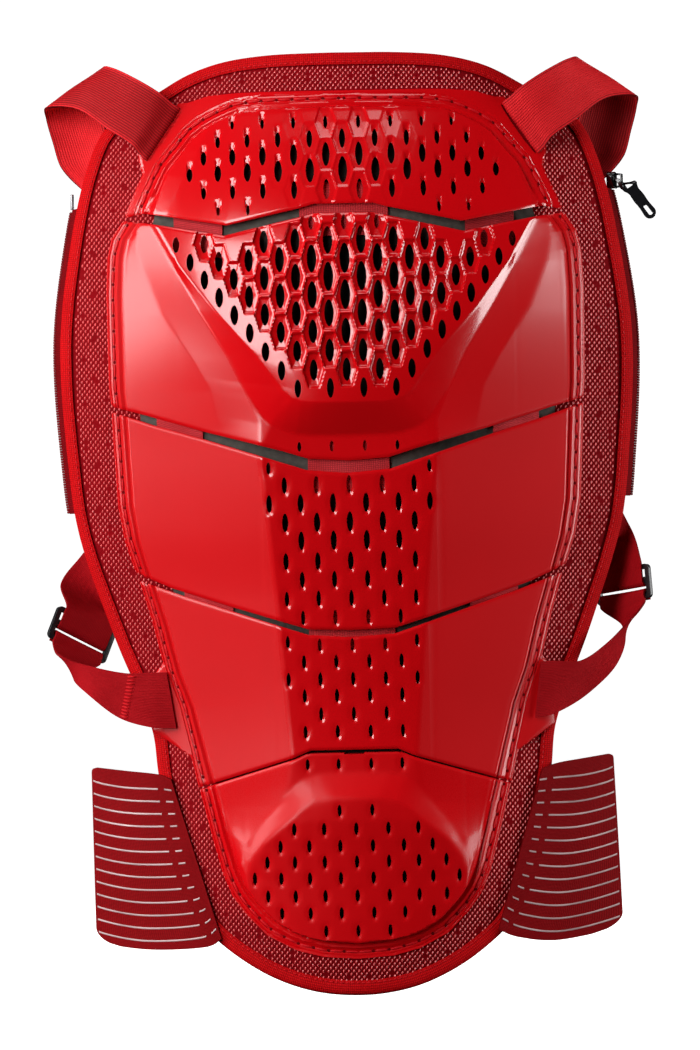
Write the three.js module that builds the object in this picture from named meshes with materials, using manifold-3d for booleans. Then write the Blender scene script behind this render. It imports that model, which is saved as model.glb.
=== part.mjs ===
// Back guard of a motocross armour jacket: five moulded shells and a foam core on a bound mesh pad,
// with elastic shoulder straps, waist webbing and adjusters, belt wings, and the halves of two zips.
// Millimetres. X runs across the back, Z up the spine, and the shells face -Y. The origin lies on the
// wearer's side of the pad, on the spine at half its height.
import * as THREE from 'three';
import { mergeGeometries, mergeVertices } from 'three/addons/utils/BufferGeometryUtils.js';
import Module from 'manifold-3d';

const wasm = await Module();
wasm.setup();

// Driving dimensions
const wrap = 0.0019; // how fast the pad curves round the ribs, per millimetre
const padThickness = 8;
const rimThickness = 3.4; // the pad pressed flat inside its binding
const rimLean = 0.4; // share of the pressing that is taken from the wearer's side
const taperStart = 9.5;
const taperEnd = 24;
const bindingWidth = 8;
const bindingWall = 1.2;
const bindingNose = 1.4;
const bindingGap = 0.6;
const padInset = 2.7; // the pad's edge inside the binding's outer edge
const innerInset = 5.2; // the least inset of the points next to that edge
const seatGap = 0.4;
const backSeat = 1.1; // straps sewn to the wearer's side
const shellWall = 2.2;
const flangeRise = 2.8; // outer face of the stitched flange above the pad
const flangeWidth = 9;
const stepWidth = 3; // steep step from the flange up to the crown
const crownBulge = 0.8;
const bevelLeast = 1.5; // least width of a bevel on a shell
const foamLift = 0.8;
const foamShoulder = 40; // half-width of the foam's flat middle
const foamEdgeRise = 1.8;
const linkWall = 0.9;
const linkSeat = 0.6;
const linkReach = 13; // how far a link tab runs under each shell
const strapWall = 1.8;
const webbingWall = 1.3;
const webbingWidth = 34;
const wingWall = 1.6;
const wingStand = 8.2; // wing's outer face in front of the wearer's side
const tapeWidth = 11;
const tapeWall = 1;
const chainWidth = 3.2;
const chainWall = 2.6;
const zipTurn = new THREE.Vector3(0.3, 0.954, 0).normalize(); // the right tape turns back towards the chest

// How far the spine line is set back towards the wearer
const spineRows = [
  { height: -290, setBack: 14 },
  { height: -247, setBack: 12 },
  { height: -188, setBack: 11.5 },
  { height: -113, setBack: 13 },
  { height: -43, setBack: 7 },
  { height: 0, setBack: 0 },
  { height: 43, setBack: -5 },
  { height: 113, setBack: -11 },
  { height: 180, setBack: -3 },
  { height: 246, setBack: 21 },
  { height: 290, setBack: 40 },
];

// Outline of the bound pad: height of the row at its ends, half-width, and how far its middle bows
const padRows = [
  { edge: 259, half: 104, bow: 18.3, power: 4 },
  { edge: 251.5, half: 118, bow: 16.8, power: 3.8 },
  { edge: 239, half: 138, bow: 14, power: 3.4 },
  { edge: 215, half: 150, bow: 10, power: 3 },
  { edge: 172, half: 160, bow: 5, power: 2.6 },
  { edge: 107, half: 168, bow: 0, power: 2.4 },
  { edge: 28, half: 164, bow: 0, power: 2.2 },
  { edge: -7, half: 158.5, bow: 0, power: 2.2 },
  { edge: -64, half: 139.5, bow: 0, power: 2.2 },
  { edge: -118, half: 118.5, bow: 0, power: 2.2 },
  { edge: -144, half: 115.5, bow: -2, power: 2.2 },
  { edge: -197, half: 106, bow: -18, power: 2.2 },
  { edge: -230, half: 91.5, bow: -34.5, power: 2.2 },
  { edge: -237, half: 87.5, bow: -37, power: 2.2 },
];

const padRowMost = 15; // longer steps between rows get one row more
const padDivisions = 5; // columns from the spine to the taper

// Edges of the shells from the spine outwards, each a kinked line
const collarEdge = [{ x: 0, z: 253.5 }, { x: 60, z: 254 }, { x: 78, z: 253 }, { x: 90, z: 249.5 }];
const slotEdges = [
  {
    above: [{ x: 0, z: 185 }, { x: 17, z: 185 }, { x: 26, z: 182.5 }, { x: 68, z: 174 }, { x: 117, z: 184 },
      { x: 129, z: 182 }],
    below: [{ x: 0, z: 179.4 }, { x: 17, z: 179.4 }, { x: 26, z: 177.2 }, { x: 69, z: 168 }, { x: 112, z: 177 },
      { x: 129, z: 180.5 }],
  },
  {
    above: [{ x: 0, z: 37 }, { x: 23, z: 38.5 }, { x: 40, z: 43.7 }, { x: 83, z: 55.5 }, { x: 118, z: 66.3 },
      { x: 138, z: 72 }],
    below: [{ x: 0, z: 30 }, { x: 24, z: 32 }, { x: 83, z: 51.2 }, { x: 112, z: 60 }, { x: 138, z: 69 }],
  },
  {
    above: [{ x: 0, z: -60.6 }, { x: 25, z: -59.8 }, { x: 69, z: -46.3 }, { x: 104, z: -35 }, { x: 126, z: -25.5 }],
    below: [{ x: 0, z: -64.6 }, { x: 25, z: -63 }, { x: 68, z: -49 }, { x: 97, z: -39.6 }, { x: 124, z: -30 }],
  },
  {
    above: [{ x: 0, z: -129.8 }, { x: 25.5, z: -129.9 }, { x: 35, z: -134 }, { x: 91, z: -151.6 }],
    below: [{ x: 0, z: -130.8 }, { x: 25.5, z: -130.9 }, { x: 35, z: -135 }, { x: 91, z: -152.6 }],
  },
];
const tailEdge = [{ x: 0, z: -251.8 }, { x: 20, z: -250.5 }, { x: 36, z: -246.5 }, { x: 52.5, z: -238 },
  { x: 65, z: -225.5 }, { x: 73, z: -214.7 }];

// Each shell: half-width down its sides, and sections from its top edge (t 0) to its bottom edge (t 1).
// ridge and foot are the half-widths where the raised middle ends and where its bevel lands, crown is
// the height at the flange, lift 0 lays a section flat as flange, and ear widens the flange for a strap.
const shells = [
  {
    name: 'shell_shoulder', top: collarEdge, bottom: slotEdges[0].above,
    sides: [{ t: 0, half: 90 }, { t: 0.46, half: 109.5 }, { t: 0.64, half: 118.5 }, { t: 1, half: 129 }],
    sections: [
      { t: 0, ridge: 50, ridgeRise: 7, foot: 66, footRise: 6, crown: 5.5, lift: 0, ear: 6 },
      { t: 0.13, ridge: 52, ridgeRise: 7, foot: 70, footRise: 6, crown: 5.5, lift: 0, ear: 7 },
      { t: 0.18, ridge: 54, ridgeRise: 7, foot: 74, footRise: 6.2, crown: 5.5, lift: 1, ear: 6.5 },
      { t: 0.42, ridge: 58, ridgeRise: 9.5, foot: 84, footRise: 8, crown: 6, lift: 1, ear: 3 },
      { t: 0.64, ridge: 62, ridgeRise: 11, foot: 92, footRise: 8.6, crown: 6.2, lift: 1, ear: 0 },
      { t: 1, ridge: 68, ridgeRise: 13, foot: 104, footRise: 9, crown: 6.5, lift: 1, ear: 0 },
    ],
  },
  {
    name: 'shell_upper_back', top: slotEdges[0].below, bottom: slotEdges[1].above,
    sides: [{ t: 0, half: 129 }, { t: 0.1, half: 136 }, { t: 0.2, half: 138.5 }, { t: 0.4, half: 139.5 },
      { t: 0.9, half: 139 }, { t: 1, half: 138 }],
    sections: [
      { t: 0, ridge: 108, ridgeRise: 12, foot: 111, footRise: 11, crown: 6, lift: 1, ear: 0 },
      { t: 0.2, ridge: 91, ridgeRise: 15, foot: 97, footRise: 13, crown: 5.8, lift: 1, ear: 0 },
      { t: 0.4, ridge: 72, ridgeRise: 18, foot: 83.5, footRise: 13.5, crown: 5.6, lift: 1, ear: 0 },
      { t: 0.6, ridge: 53, ridgeRise: 21, foot: 69.5, footRise: 13.5, crown: 5.5, lift: 1, ear: 0 },
      { t: 0.72, ridge: 41, ridgeRise: 22.5, foot: 61, footRise: 13.2, crown: 5.5, lift: 1, ear: 0 },
      { t: 0.77, ridge: 29, ridgeRise: 23, foot: 57.5, footRise: 13, crown: 5.5, lift: 1, ear: 0 },
      { t: 0.9, ridge: 40, ridgeRise: 12.6, foot: 50.5, footRise: 12.4, crown: 5.5, lift: 1, ear: 0 },
      { t: 1, ridge: 44, ridgeRise: 12.6, foot: 50.5, footRise: 12.2, crown: 5.5, lift: 1, ear: 0 },
    ],
  },
  {
    name: 'shell_mid_back', top: slotEdges[1].below, bottom: slotEdges[2].above,
    sides: [{ t: 0, half: 138 }, { t: 0.25, half: 137 }, { t: 0.58, half: 135.5 }, { t: 0.8, half: 132 },
      { t: 1, half: 126 }],
    sections: [
      { t: 0, ridge: 45, ridgeRise: 12.6, foot: 50.5, footRise: 12.2, crown: 5.5, lift: 1, ear: 0 },
      { t: 0.25, ridge: 43, ridgeRise: 12.8, foot: 48.5, footRise: 12.4, crown: 5.5, lift: 1, ear: 0 },
      { t: 0.5, ridge: 41, ridgeRise: 13, foot: 46, footRise: 12.6, crown: 5.5, lift: 1, ear: 0 },
      { t: 0.75, ridge: 39, ridgeRise: 13.2, foot: 44, footRise: 12.8, crown: 5.5, lift: 1, ear: 0 },
      { t: 1, ridge: 37.5, ridgeRise: 13.4, foot: 42, footRise: 13, crown: 5.5, lift: 1, ear: 0 },
    ],
  },
  {
    name: 'shell_lower_back', top: slotEdges[2].below, bottom: slotEdges[3].above,
    sides: [{ t: 0, half: 124 }, { t: 0.18, half: 117 }, { t: 0.41, half: 110 }, { t: 0.58, half: 102.5 },
      { t: 0.8, half: 96.5 }, { t: 1, half: 91.5 }],
    sections: [
      { t: 0, ridge: 38, ridgeRise: 13.4, foot: 42.5, footRise: 13, crown: 5.5, lift: 1, ear: 0 },
      { t: 0.2, ridge: 37, ridgeRise: 13.5, foot: 41.2, footRise: 13.1, crown: 5.5, lift: 1, ear: 0 },
      { t: 0.38, ridge: 36, ridgeRise: 13.6, foot: 40, footRise: 13.2, crown: 5.5, lift: 1, ear: 0 },
      { t: 0.45, ridge: 35.6, ridgeRise: 13.6, foot: 39.6, footRise: 13.2, crown: 5.5, lift: 1, ear: 9 },
      { t: 0.72, ridge: 34, ridgeRise: 13.8, foot: 38, footRise: 13.4, crown: 5.5, lift: 1, ear: 19 },
      { t: 0.84, ridge: 33.4, ridgeRise: 13.9, foot: 37.2, footRise: 13.5, crown: 5.5, lift: 1, ear: 0 },
      { t: 1, ridge: 32.5, ridgeRise: 14, foot: 36.3, footRise: 13.6, crown: 5.5, lift: 1, ear: 0 },
    ],
  },
  {
    name: 'shell_tail', top: slotEdges[3].below, bottom: tailEdge,
    sides: [{ t: 0, half: 91 }, { t: 0.45, half: 84.3 }, { t: 0.81, half: 78.2 }, { t: 1, half: 73 }],
    sections: [
      { t: 0, ridge: 32.5, ridgeRise: 14, foot: 36.2, footRise: 13.6, crown: 5.5, lift: 1, ear: 0 },
      { t: 0.12, ridge: 31, ridgeRise: 13.2, foot: 38, footRise: 12.8, crown: 5.5, lift: 1, ear: 0 },
      { t: 0.226, ridge: 18.5, ridgeRise: 21, foot: 44, footRise: 12.2, crown: 5.5, lift: 1, ear: 0 },
      { t: 0.335, ridge: 39, ridgeRise: 19.8, foot: 53, footRise: 11.2, crown: 5.8, lift: 1, ear: 0 },
      { t: 0.474, ridge: 54, ridgeRise: 17, foot: 61, footRise: 9.8, crown: 6.2, lift: 1, ear: 0 },
      { t: 0.66, ridge: 62, ridgeRise: 13, foot: 65.5, footRise: 9, crown: 6.5, lift: 1, ear: 0 },
      { t: 0.8, ridge: 59, ridgeRise: 10.6, foot: 63, footRise: 8.4, crown: 6.5, lift: 1, ear: 0 },
      { t: 0.89, ridge: 54, ridgeRise: 8.8, foot: 59, footRise: 7.8, crown: 6.2, lift: 1, ear: 0 },
      { t: 0.925, ridge: 52, ridgeRise: 8, foot: 58, footRise: 7, crown: 6, lift: 0, ear: 0 },
      { t: 1, ridge: 50, ridgeRise: 8, foot: 56, footRise: 7, crown: 6, lift: 0, ear: 0 },
    ],
  },
];

// Perforated fields: rows of slots by height, the columns that a row holds, and its fullest slot
const columnPitch = 9.6;
const columnSquash = 0.07; // the pitch closes up towards the sides
const slotFields = {
  shell_shoulder: [
    { z: 234, first: 1, last: 7, long: 8 },
    { z: 224, first: 0, last: 8, long: 10.5 },
    { z: 214.5, first: 1, last: 9, long: 13.5 },
    { z: 205, first: 0, last: 10, long: 14 },
    { z: 193.5, first: 1, last: 9, long: 11.5 },
  ],
  shell_upper_back: [
    { z: 174, first: 0, last: 2, long: 9 },
    { z: 163.6, first: 1, last: 5, long: 14.5 },
    { z: 163.6, first: 9, last: 11, long: 10 },
    { z: 153, first: 0, last: 10, long: 14.5 },
    { z: 142.5, first: 1, last: 9, long: 15 },
    { z: 132, first: 0, last: 8, long: 15 },
    { z: 121.5, first: 1, last: 7, long: 14.5 },
    { z: 111, first: 0, last: 6, long: 14 },
    { z: 100, first: 1, last: 5, long: 13.5 },
    { z: 89, first: 0, last: 4, long: 13 },
    { z: 78.5, first: 1, last: 3, long: 11.5 },
  ],
};
const slotFade = 0.045; // how much of its length a slot loses with each column outwards
const slotAspect = 0.32;
const slotDepth = 13; // cutter length, well past the wall on a slope

// Foam core between pad and shells
const foamRows = [
  { z: 236, half: 70, rise: 2.4 },
  { z: 214, half: 92, rise: 4.6 },
  { z: 186, half: 109, rise: 8 },
  { z: 140, half: 122, rise: 8 },
  { z: 70, half: 121, rise: 8 },
  { z: 30, half: 119.5, rise: 8 },
  { z: -10, half: 114, rise: 8 },
  { z: -50, half: 99, rise: 8 },
  { z: -100, half: 85, rise: 8 },
  { z: -150, half: 74, rise: 8 },
  { z: -195, half: 61, rise: 5.4 },
  { z: -228, half: 42, rise: 2.6 },
];
const foamSteps = 20;
const foamShares = [0, 0.22, 0.42, 0.62, 0.82, 1]; // columns from the spine to the foam's edge

// Woven links across the open slots
const linkRows = [
  { slot: 1, side: 'left', x: -84.5, width: 28.5 },
  { slot: 1, side: 'centre', x: 0, width: 51 },
  { slot: 1, side: 'right', x: 84.5, width: 28.5 },
  { slot: 2, side: 'left', x: -97.5, width: 27 },
  { slot: 2, side: 'centre', x: 0, width: 47 },
  { slot: 2, side: 'right', x: 97.5, width: 27 },
  { slot: 3, side: 'left', x: -83, width: 28.5 },
  { slot: 3, side: 'centre', x: 0, width: 50 },
  { slot: 3, side: 'right', x: 83, width: 28.5 },
];

// Shoulder strap, from its seam on the shell over the top and down behind the pad.
// Edge a is the inner one and edge b the outer one; a seated row lies on the guard.
const shoulderRows = [
  { ax: 95, az: 247, bx: 113, bz: 218, seat: 'front' },
  { ax: 107, ay: 24, az: 256, bx: 123, by: 22, bz: 225 },
  { ax: 121, ay: 28, az: 265, bx: 137, by: 29, bz: 235 },
  { ax: 134, ay: 38, az: 272, bx: 156, by: 45, bz: 249 },
  { ax: 143, ay: 52, az: 271, bx: 171, by: 57, bz: 252 },
  { ax: 145, ay: 62, az: 260, bx: 174, by: 67, bz: 244 },
  { ax: 141, ay: 63, az: 240, bx: 172, by: 69, bz: 231 },
  { ax: 134, ay: 58, az: 222, bx: 166, by: 67, bz: 219 },
  { ax: 122, az: 203, bx: 147, bz: 206, seat: 'back' },
];
const shoulderSteps = 18;

// Waist webbing: below the adjuster it runs from an ear of the lower shell, above it to the pad's back
const waistSides = [
  {
    name: 'left',
    adjuster: { outer: [-175, 50, -54], inner: [-147, 67, -70], turn: 0.06 },
    below: [
      { ax: -109, az: -84, bx: -104, bz: -117, seat: 'front' },
      { ax: -120, ay: 23, az: -84, bx: -119, by: 21, bz: -116 },
      { ax: -134, ay: 25, az: -84, bx: -138, by: 26, bz: -110 },
      { ax: -157, ay: 33, az: -79, bx: -155, by: 31, bz: -97 },
      { ax: -174, ay: 43, az: -73, bx: -165, by: 50, bz: -86 },
    ],
    above: [
      { ax: -172, ay: 54, az: -31, bx: -146, by: 66, bz: -49 },
      { ax: -158, az: -13, bx: -142, bz: -41, seat: 'back' },
    ],
  },
  {
    name: 'right',
    adjuster: { outer: [173, 50, -37], inner: [151, 71, -41], turn: 0.06 },
    below: [
      { ax: 110, az: -82, bx: 106, bz: -115, seat: 'front' },
      { ax: 119, ay: 23, az: -82, bx: 117, by: 21, bz: -113 },
      { ax: 134, ay: 25, az: -82, bx: 137, by: 26, bz: -102 },
      { ax: 150, ay: 34, az: -72, bx: 155, by: 31, bz: -85 },
      { ax: 166, ay: 45, az: -58, bx: 161, by: 56, bz: -64 },
    ],
    above: [
      { ax: 168, ay: 54, az: -9, bx: 149, by: 66, bz: -19 },
      { ax: 160, az: 7, bx: 148, bz: -25, seat: 'back' },
    ],
  },
];
const webbingSteps = 12;
const adjusterSize = { long: 42, tall: 20.5, thick: 2.4, corner: 3, slotLong: 35.6, slotTall: 5.5, bar: 3.5 };
const threadRows = [
  { along: -11.5, out: -2.6 },
  { along: -7.25, out: -2.5 },
  { along: -1.75, out: 2.5 },
  { along: 1.75, out: 2.5 },
  { along: 7.25, out: -2.5 },
  { along: 11.5, out: -2.6 },
];

// Belt wings from their seam on the binding outwards, at the top and bottom edge
const wingSides = [
  {
    name: 'left',
    rows: [
      { topX: -108, topZ: -147, bottomX: -80, bottomZ: -240 },
      { topX: -116, topZ: -144, bottomX: -90, bottomZ: -245 },
      { topX: -136, topZ: -142, bottomX: -123, bottomZ: -247 },
      { topX: -156, topZ: -140, bottomX: -155, bottomZ: -244 },
    ],
  },
  {
    name: 'right',
    rows: [
      { topX: 110, topZ: -145, bottomX: 82, bottomZ: -238 },
      { topX: 120, topZ: -142, bottomX: 94, bottomZ: -243 },
      { topX: 136, topZ: -140, bottomX: 118, bottomZ: -246 },
      { topX: 153, topZ: -138, bottomX: 157, bottomZ: -241 },
    ],
  },
];
const wingSteps = 5;
const wingBands = 4;

// Open zips down both edges of the pad
const zipSides = [
  { name: 'left', hand: -1, top: 190, bottom: 10 },
  { name: 'right', hand: 1, top: 196, bottom: 14 },
];
const zipSteps = 9;
const sliderSize = { shoulder: 4.4, shoulderAt: 1.5, waist: 3.4, tall: 10, thick: 4.6, bridge: 2.6, sink: 0.5 };
const pullAxisOut = 3.9; // hinge of the pull above the middle of the slider
// The slider's bridge: where its outer and inner faces stand at the foot and at the top, above the hinge
const bridgeOuter = { footLow: -4.8, footHigh: 4.3, topLow: -4.1, topHigh: 3.6, top: 2.7 };
const bridgeInner = { footLow: -3.5, footHigh: 3, topLow: -3.1, topHigh: 2.6, top: 1.5 };
const pullSize = {
  thick: 1.6, ringHalf: 3.5, neckHalf: 2.5, neckBend: 2, tabHalf: 3.7, long: 31, slotHalf: 1.8, slotEnd: 8,
  eyeLong: 7,
};
const pullRaised = 36; // degrees that the pull stands out from the zip
const pinSize = { radius: 1.2, long: 9, sides: 10 };

// Finishes
const finishes = {
  shellRed: { color: 0xc40a14, roughness: 0.22, metalness: 0 },
  meshRed: { color: 0xb8121c, roughness: 0.85, metalness: 0 },
  bindingRed: { color: 0xa8101a, roughness: 0.75, metalness: 0 },
  elasticRed: { color: 0xb00d17, roughness: 0.7, metalness: 0 },
  foamGrey: { color: 0x6b6560, roughness: 0.95, metalness: 0 },
  linkRed: { color: 0xc42832, roughness: 0.8, metalness: 0 },
  plasticBlack: { color: 0x17171a, roughness: 0.4, metalness: 0 },
  zipBlack: { color: 0x3a0d10, roughness: 0.5, metalness: 0 },
  pullBlack: { color: 0x121214, roughness: 0.3, metalness: 0.6 },
  pinGrey: { color: 0x8d8f93, roughness: 0.35, metalness: 0.9 },
};

// Reads one column of a table in straight steps between its rows
function readLine(rows, key, column, at) {
  const rising = rows[rows.length - 1][key] > rows[0][key];
  const ordered = rising ? rows : [...rows].reverse();
  const next = ordered.findIndex((row) => row[key] >= at);
  if (next === -1) return ordered[ordered.length - 1][column];
  if (next === 0) return ordered[0][column];
  const low = ordered[next - 1];
  const high = ordered[next];
  return THREE.MathUtils.mapLinear(at, low[key], high[key], low[column], high[column]);
}

// Reads one column of a table along a smooth curve through its rows
function readCurve(rows, key, column, at) {
  const rising = rows[rows.length - 1][key] > rows[0][key];
  const ordered = rising ? rows : [...rows].reverse();
  const last = ordered.length - 1;
  const slope = (i) => {
    const low = ordered[Math.max(i - 1, 0)];
    const high = ordered[Math.min(i + 1, last)];
    return (high[column] - low[column]) / (high[key] - low[key]);
  };
  const found = ordered.findIndex((row) => row[key] >= at);
  const next = THREE.MathUtils.clamp(found === -1 ? last : found, 1, last);
  const low = ordered[next - 1];
  const high = ordered[next];
  const span = high[key] - low[key];
  const u = (at - low[key]) / span;
  const blend = u * u * (3 - 2 * u);
  const lead = u * (1 - u) * (1 - u) * span * slope(next - 1);
  const trail = u * u * (1 - u) * span * slope(next);
  return low[column] + (high[column] - low[column]) * blend + lead - trail;
}

// The wearer's side of the pad, and the pad's outer face under the shells
function backAt(x, z) {
  return readCurve(spineRows, 'height', 'setBack', z) + wrap * x * x;
}

function padFront(x, z) {
  return backAt(x, z) - padThickness;
}

function backNormal(x, z) {
  const step = 1;
  const acrossSlope = (backAt(x + step, z) - backAt(x - step, z)) / (2 * step);
  const upSlope = (backAt(x, z + step) - backAt(x, z - step)) / (2 * step);
  return new THREE.Vector3(acrossSlope, -1, upSlope).normalize();
}

// A geometry of shared points whose faces are turned outwards
function closedGeometry(points, triangles) {
  const a = new THREE.Vector3();
  let volume = 0;
  for (const [i, j, k] of triangles) {
    volume += points[i].dot(a.crossVectors(points[j], points[k]));
  }
  const faces = volume > 0 ? triangles : triangles.map(([i, j, k]) => [i, k, j]);
  const geometry = new THREE.BufferGeometry().setFromPoints(points);
  geometry.setIndex(faces.flat());
  geometry.computeVertexNormals();
  return geometry;
}

// A closed wall between a front and a back sheet of points, sheet[row][column]
function wallGeometry(front, back) {
  const rows = front.length;
  const columns = front[0].length;
  const sheetSize = rows * columns;
  const frontAt = (row, column) => row * columns + column;
  const triangles = [];
  for (let row = 0; row < rows - 1; row += 1) {
    for (let column = 0; column < columns - 1; column += 1) {
      const [p, q] = [frontAt(row, column), frontAt(row, column + 1)];
      const [r, s] = [frontAt(row + 1, column), frontAt(row + 1, column + 1)];
      triangles.push([p, r, q], [q, r, s]);
      triangles.push([p + sheetSize, q + sheetSize, r + sheetSize]);
      triangles.push([q + sheetSize, s + sheetSize, r + sheetSize]);
    }
  }
  const rim = rimOf(rows, columns).map(([row, column]) => frontAt(row, column));
  rim.forEach((p, i) => {
    const q = rim[(i + 1) % rim.length];
    triangles.push([p, q, p + sheetSize], [q, q + sheetSize, p + sheetSize]);
  });
  return closedGeometry([...front.flat(), ...back.flat()], triangles);
}

// Row and column numbers round the edge of a sheet: along the top, down, back along the bottom, and up
function rimOf(rows, columns) {
  const rim = [];
  for (let column = 0; column < columns - 1; column += 1) rim.push([0, column]);
  for (let row = 0; row < rows - 1; row += 1) rim.push([row, columns - 1]);
  for (let column = columns - 1; column > 0; column -= 1) rim.push([rows - 1, column]);
  for (let row = rows - 1; row > 0; row -= 1) rim.push([row, 0]);
  return rim;
}

// A closed ring through equal sections
function ringGeometry(sections) {
  const sides = sections[0].length;
  const triangles = [];
  sections.forEach((section, i) => {
    const next = (i + 1) % sections.length;
    for (let side = 0; side < sides; side += 1) {
      const across = (side + 1) % sides;
      const [p, q] = [i * sides + side, i * sides + across];
      const [r, s] = [next * sides + side, next * sides + across];
      triangles.push([p, r, q], [q, r, s]);
    }
  });
  return closedGeometry(sections.flat(), triangles);
}

// A flat band between two edges, each a list of points
function bandGeometry(edgeA, edgeB, thickness) {
  const front = [];
  const back = [];
  edgeA.forEach((a, i) => {
    const b = edgeB[i];
    const before = edgeA[Math.max(i - 1, 0)].clone().add(edgeB[Math.max(i - 1, 0)]);
    const after = edgeA[Math.min(i + 1, edgeA.length - 1)].clone().add(edgeB[Math.min(i + 1, edgeB.length - 1)]);
    const along = after.sub(before);
    const normal = along.cross(b.clone().sub(a)).setLength(thickness / 2);
    front.push([a.clone().add(normal), b.clone().add(normal)]);
    back.push([a.clone().sub(normal), b.clone().sub(normal)]);
  });
  return wallGeometry(front, back);
}

function smoothLine(points, steps) {
  return new THREE.CatmullRomCurve3(points, false, 'centripetal').getPoints(steps);
}

function toManifold(geometry) {
  const bare = new THREE.BufferGeometry();
  bare.setAttribute('position', geometry.getAttribute('position'));
  if (geometry.index) bare.setIndex(geometry.index);
  const merged = mergeVertices(bare, 1e-4);
  const vertProperties = Float32Array.from(merged.getAttribute('position').array);
  const triVerts = Uint32Array.from(merged.index.array);
  return new wasm.Manifold(new wasm.Mesh({ numProp: 3, vertProperties, triVerts }));
}

function fromManifold(solid) {
  const mesh = solid.getMesh();
  const geometry = new THREE.BufferGeometry();
  geometry.setAttribute('position', new THREE.BufferAttribute(mesh.vertProperties, 3));
  geometry.setIndex(new THREE.BufferAttribute(mesh.triVerts, 1));
  geometry.computeVertexNormals();
  return geometry;
}

const guard = new THREE.Group();

function addPiece(name, geometry, finish, parent = guard) {
  const mesh = new THREE.Mesh(geometry, new THREE.MeshStandardMaterial(finishes[finish]));
  mesh.name = name;
  parent.add(mesh);
  return mesh;
}

// Rows of the pad's grid from top to bottom, and its columns from the wearer's left to right
function padRowEdges() {
  const edges = [];
  padRows.forEach((row, i) => {
    edges.push(row.edge);
    const next = padRows[i + 1];
    if (next && row.edge - next.edge > padRowMost) edges.push((row.edge + next.edge) / 2);
  });
  return edges;
}

function padColumns(half) {
  const inner = half - taperEnd;
  const right = Array.from({ length: padDivisions }, (_, i) => (inner * (i + 1)) / padDivisions);
  right.push(half - taperStart, half);
  return [...right.map((x) => -x).reverse(), 0, ...right];
}

function padPlace(edge, x, half) {
  const bow = readCurve(padRows, 'edge', 'bow', edge);
  const power = readCurve(padRows, 'edge', 'power', edge);
  const share = Math.min(Math.abs(x) / half, 1);
  return edge + bow * (1 - share ** power);
}

// Grid of the pad's outline, and the places round its rim
function outlineSheet() {
  return padRowEdges().map((edge) => {
    const half = readCurve(padRows, 'edge', 'half', edge);
    return padColumns(half).map((x) => new THREE.Vector2(x, padPlace(edge, x, half)));
  });
}

function outlineRim(sheet) {
  return rimOf(sheet.length, sheet[0].length).map(([row, column]) => sheet[row][column]);
}

// How far a place lies inside the outline, and the way inwards from the nearest stretch of it
function insetAt(place, rim) {
  const nearest = { inset: Infinity, inward: null };
  rim.forEach((start, i) => {
    const stretch = rim[(i + 1) % rim.length].clone().sub(start);
    const share = THREE.MathUtils.clamp(place.clone().sub(start).dot(stretch) / stretch.lengthSq(), 0, 1);
    const inset = start.clone().addScaledVector(stretch, share).distanceTo(place);
    if (inset < nearest.inset) {
      nearest.inset = inset;
      nearest.inward = new THREE.Vector2(stretch.y, -stretch.x).normalize();
    }
  });
  return nearest;
}

// Moves a place inwards until it has at least the inset wanted
function drawIn(place, rim, wanted) {
  const drawn = place.clone();
  for (let turn = 0; turn < 4; turn += 1) {
    const { inset, inward } = insetAt(drawn, rim);
    if (inset < wanted) drawn.addScaledVector(inward, wanted - inset);
  }
  return drawn;
}

function addPad() {
  const sheet = outlineSheet();
  const rim = outlineRim(sheet);
  const front = [];
  const back = [];
  for (const row of sheet) {
    const places = row.map((place) => drawIn(place, rim, rim.includes(place) ? padInset : innerInset));
    const thickness = places.map((place) => {
      const swell = THREE.MathUtils.smoothstep(insetAt(place, rim).inset, taperStart, taperEnd);
      return THREE.MathUtils.lerp(rimThickness, padThickness, swell);
    });
    const backRow = places.map(({ x, y: z }, i) => {
      const y = backAt(x, z) - rimLean * (padThickness - thickness[i]);
      return new THREE.Vector3(x, y, z);
    });
    back.push(backRow);
    front.push(backRow.map((point, i) => point.clone().setY(point.y - thickness[i])));
  }
  addPiece('back_pad', wallGeometry(front, back), 'meshRed');
}

// The folded tape: a U round the pressed rim, open towards the pad
function addBinding() {
  const rimMiddle = rimLean * (padThickness - rimThickness) + rimThickness / 2;
  const rim = outlineRim(outlineSheet()).map(({ x, y: z }) => new THREE.Vector3(x, backAt(x, z) - rimMiddle, z));
  const inside = rimThickness / 2 + bindingGap;
  const outside = inside + bindingWall;
  const profile = [
    [-bindingWidth, outside], [-bindingNose, outside], [0, 0], [-bindingNose, -outside], [-bindingWidth, -outside],
    [-bindingWidth, -inside], [-bindingNose, -inside], [-bindingNose, inside], [-bindingWidth, inside],
  ];
  const sections = rim.map((point, i) => {
    const along = rim[(i + 1) % rim.length].clone().sub(rim[(i + rim.length - 1) % rim.length]);
    const normal = backNormal(point.x, point.z);
    const outward = along.cross(normal).normalize();
    if (outward.x * point.x + outward.z * point.z < 0) outward.negate();
    return profile.map(([out, up]) => point.clone().addScaledVector(outward, out).addScaledVector(normal, up));
  });
  addPiece('edge_binding', ringGeometry(sections), 'bindingRed');
}

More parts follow.
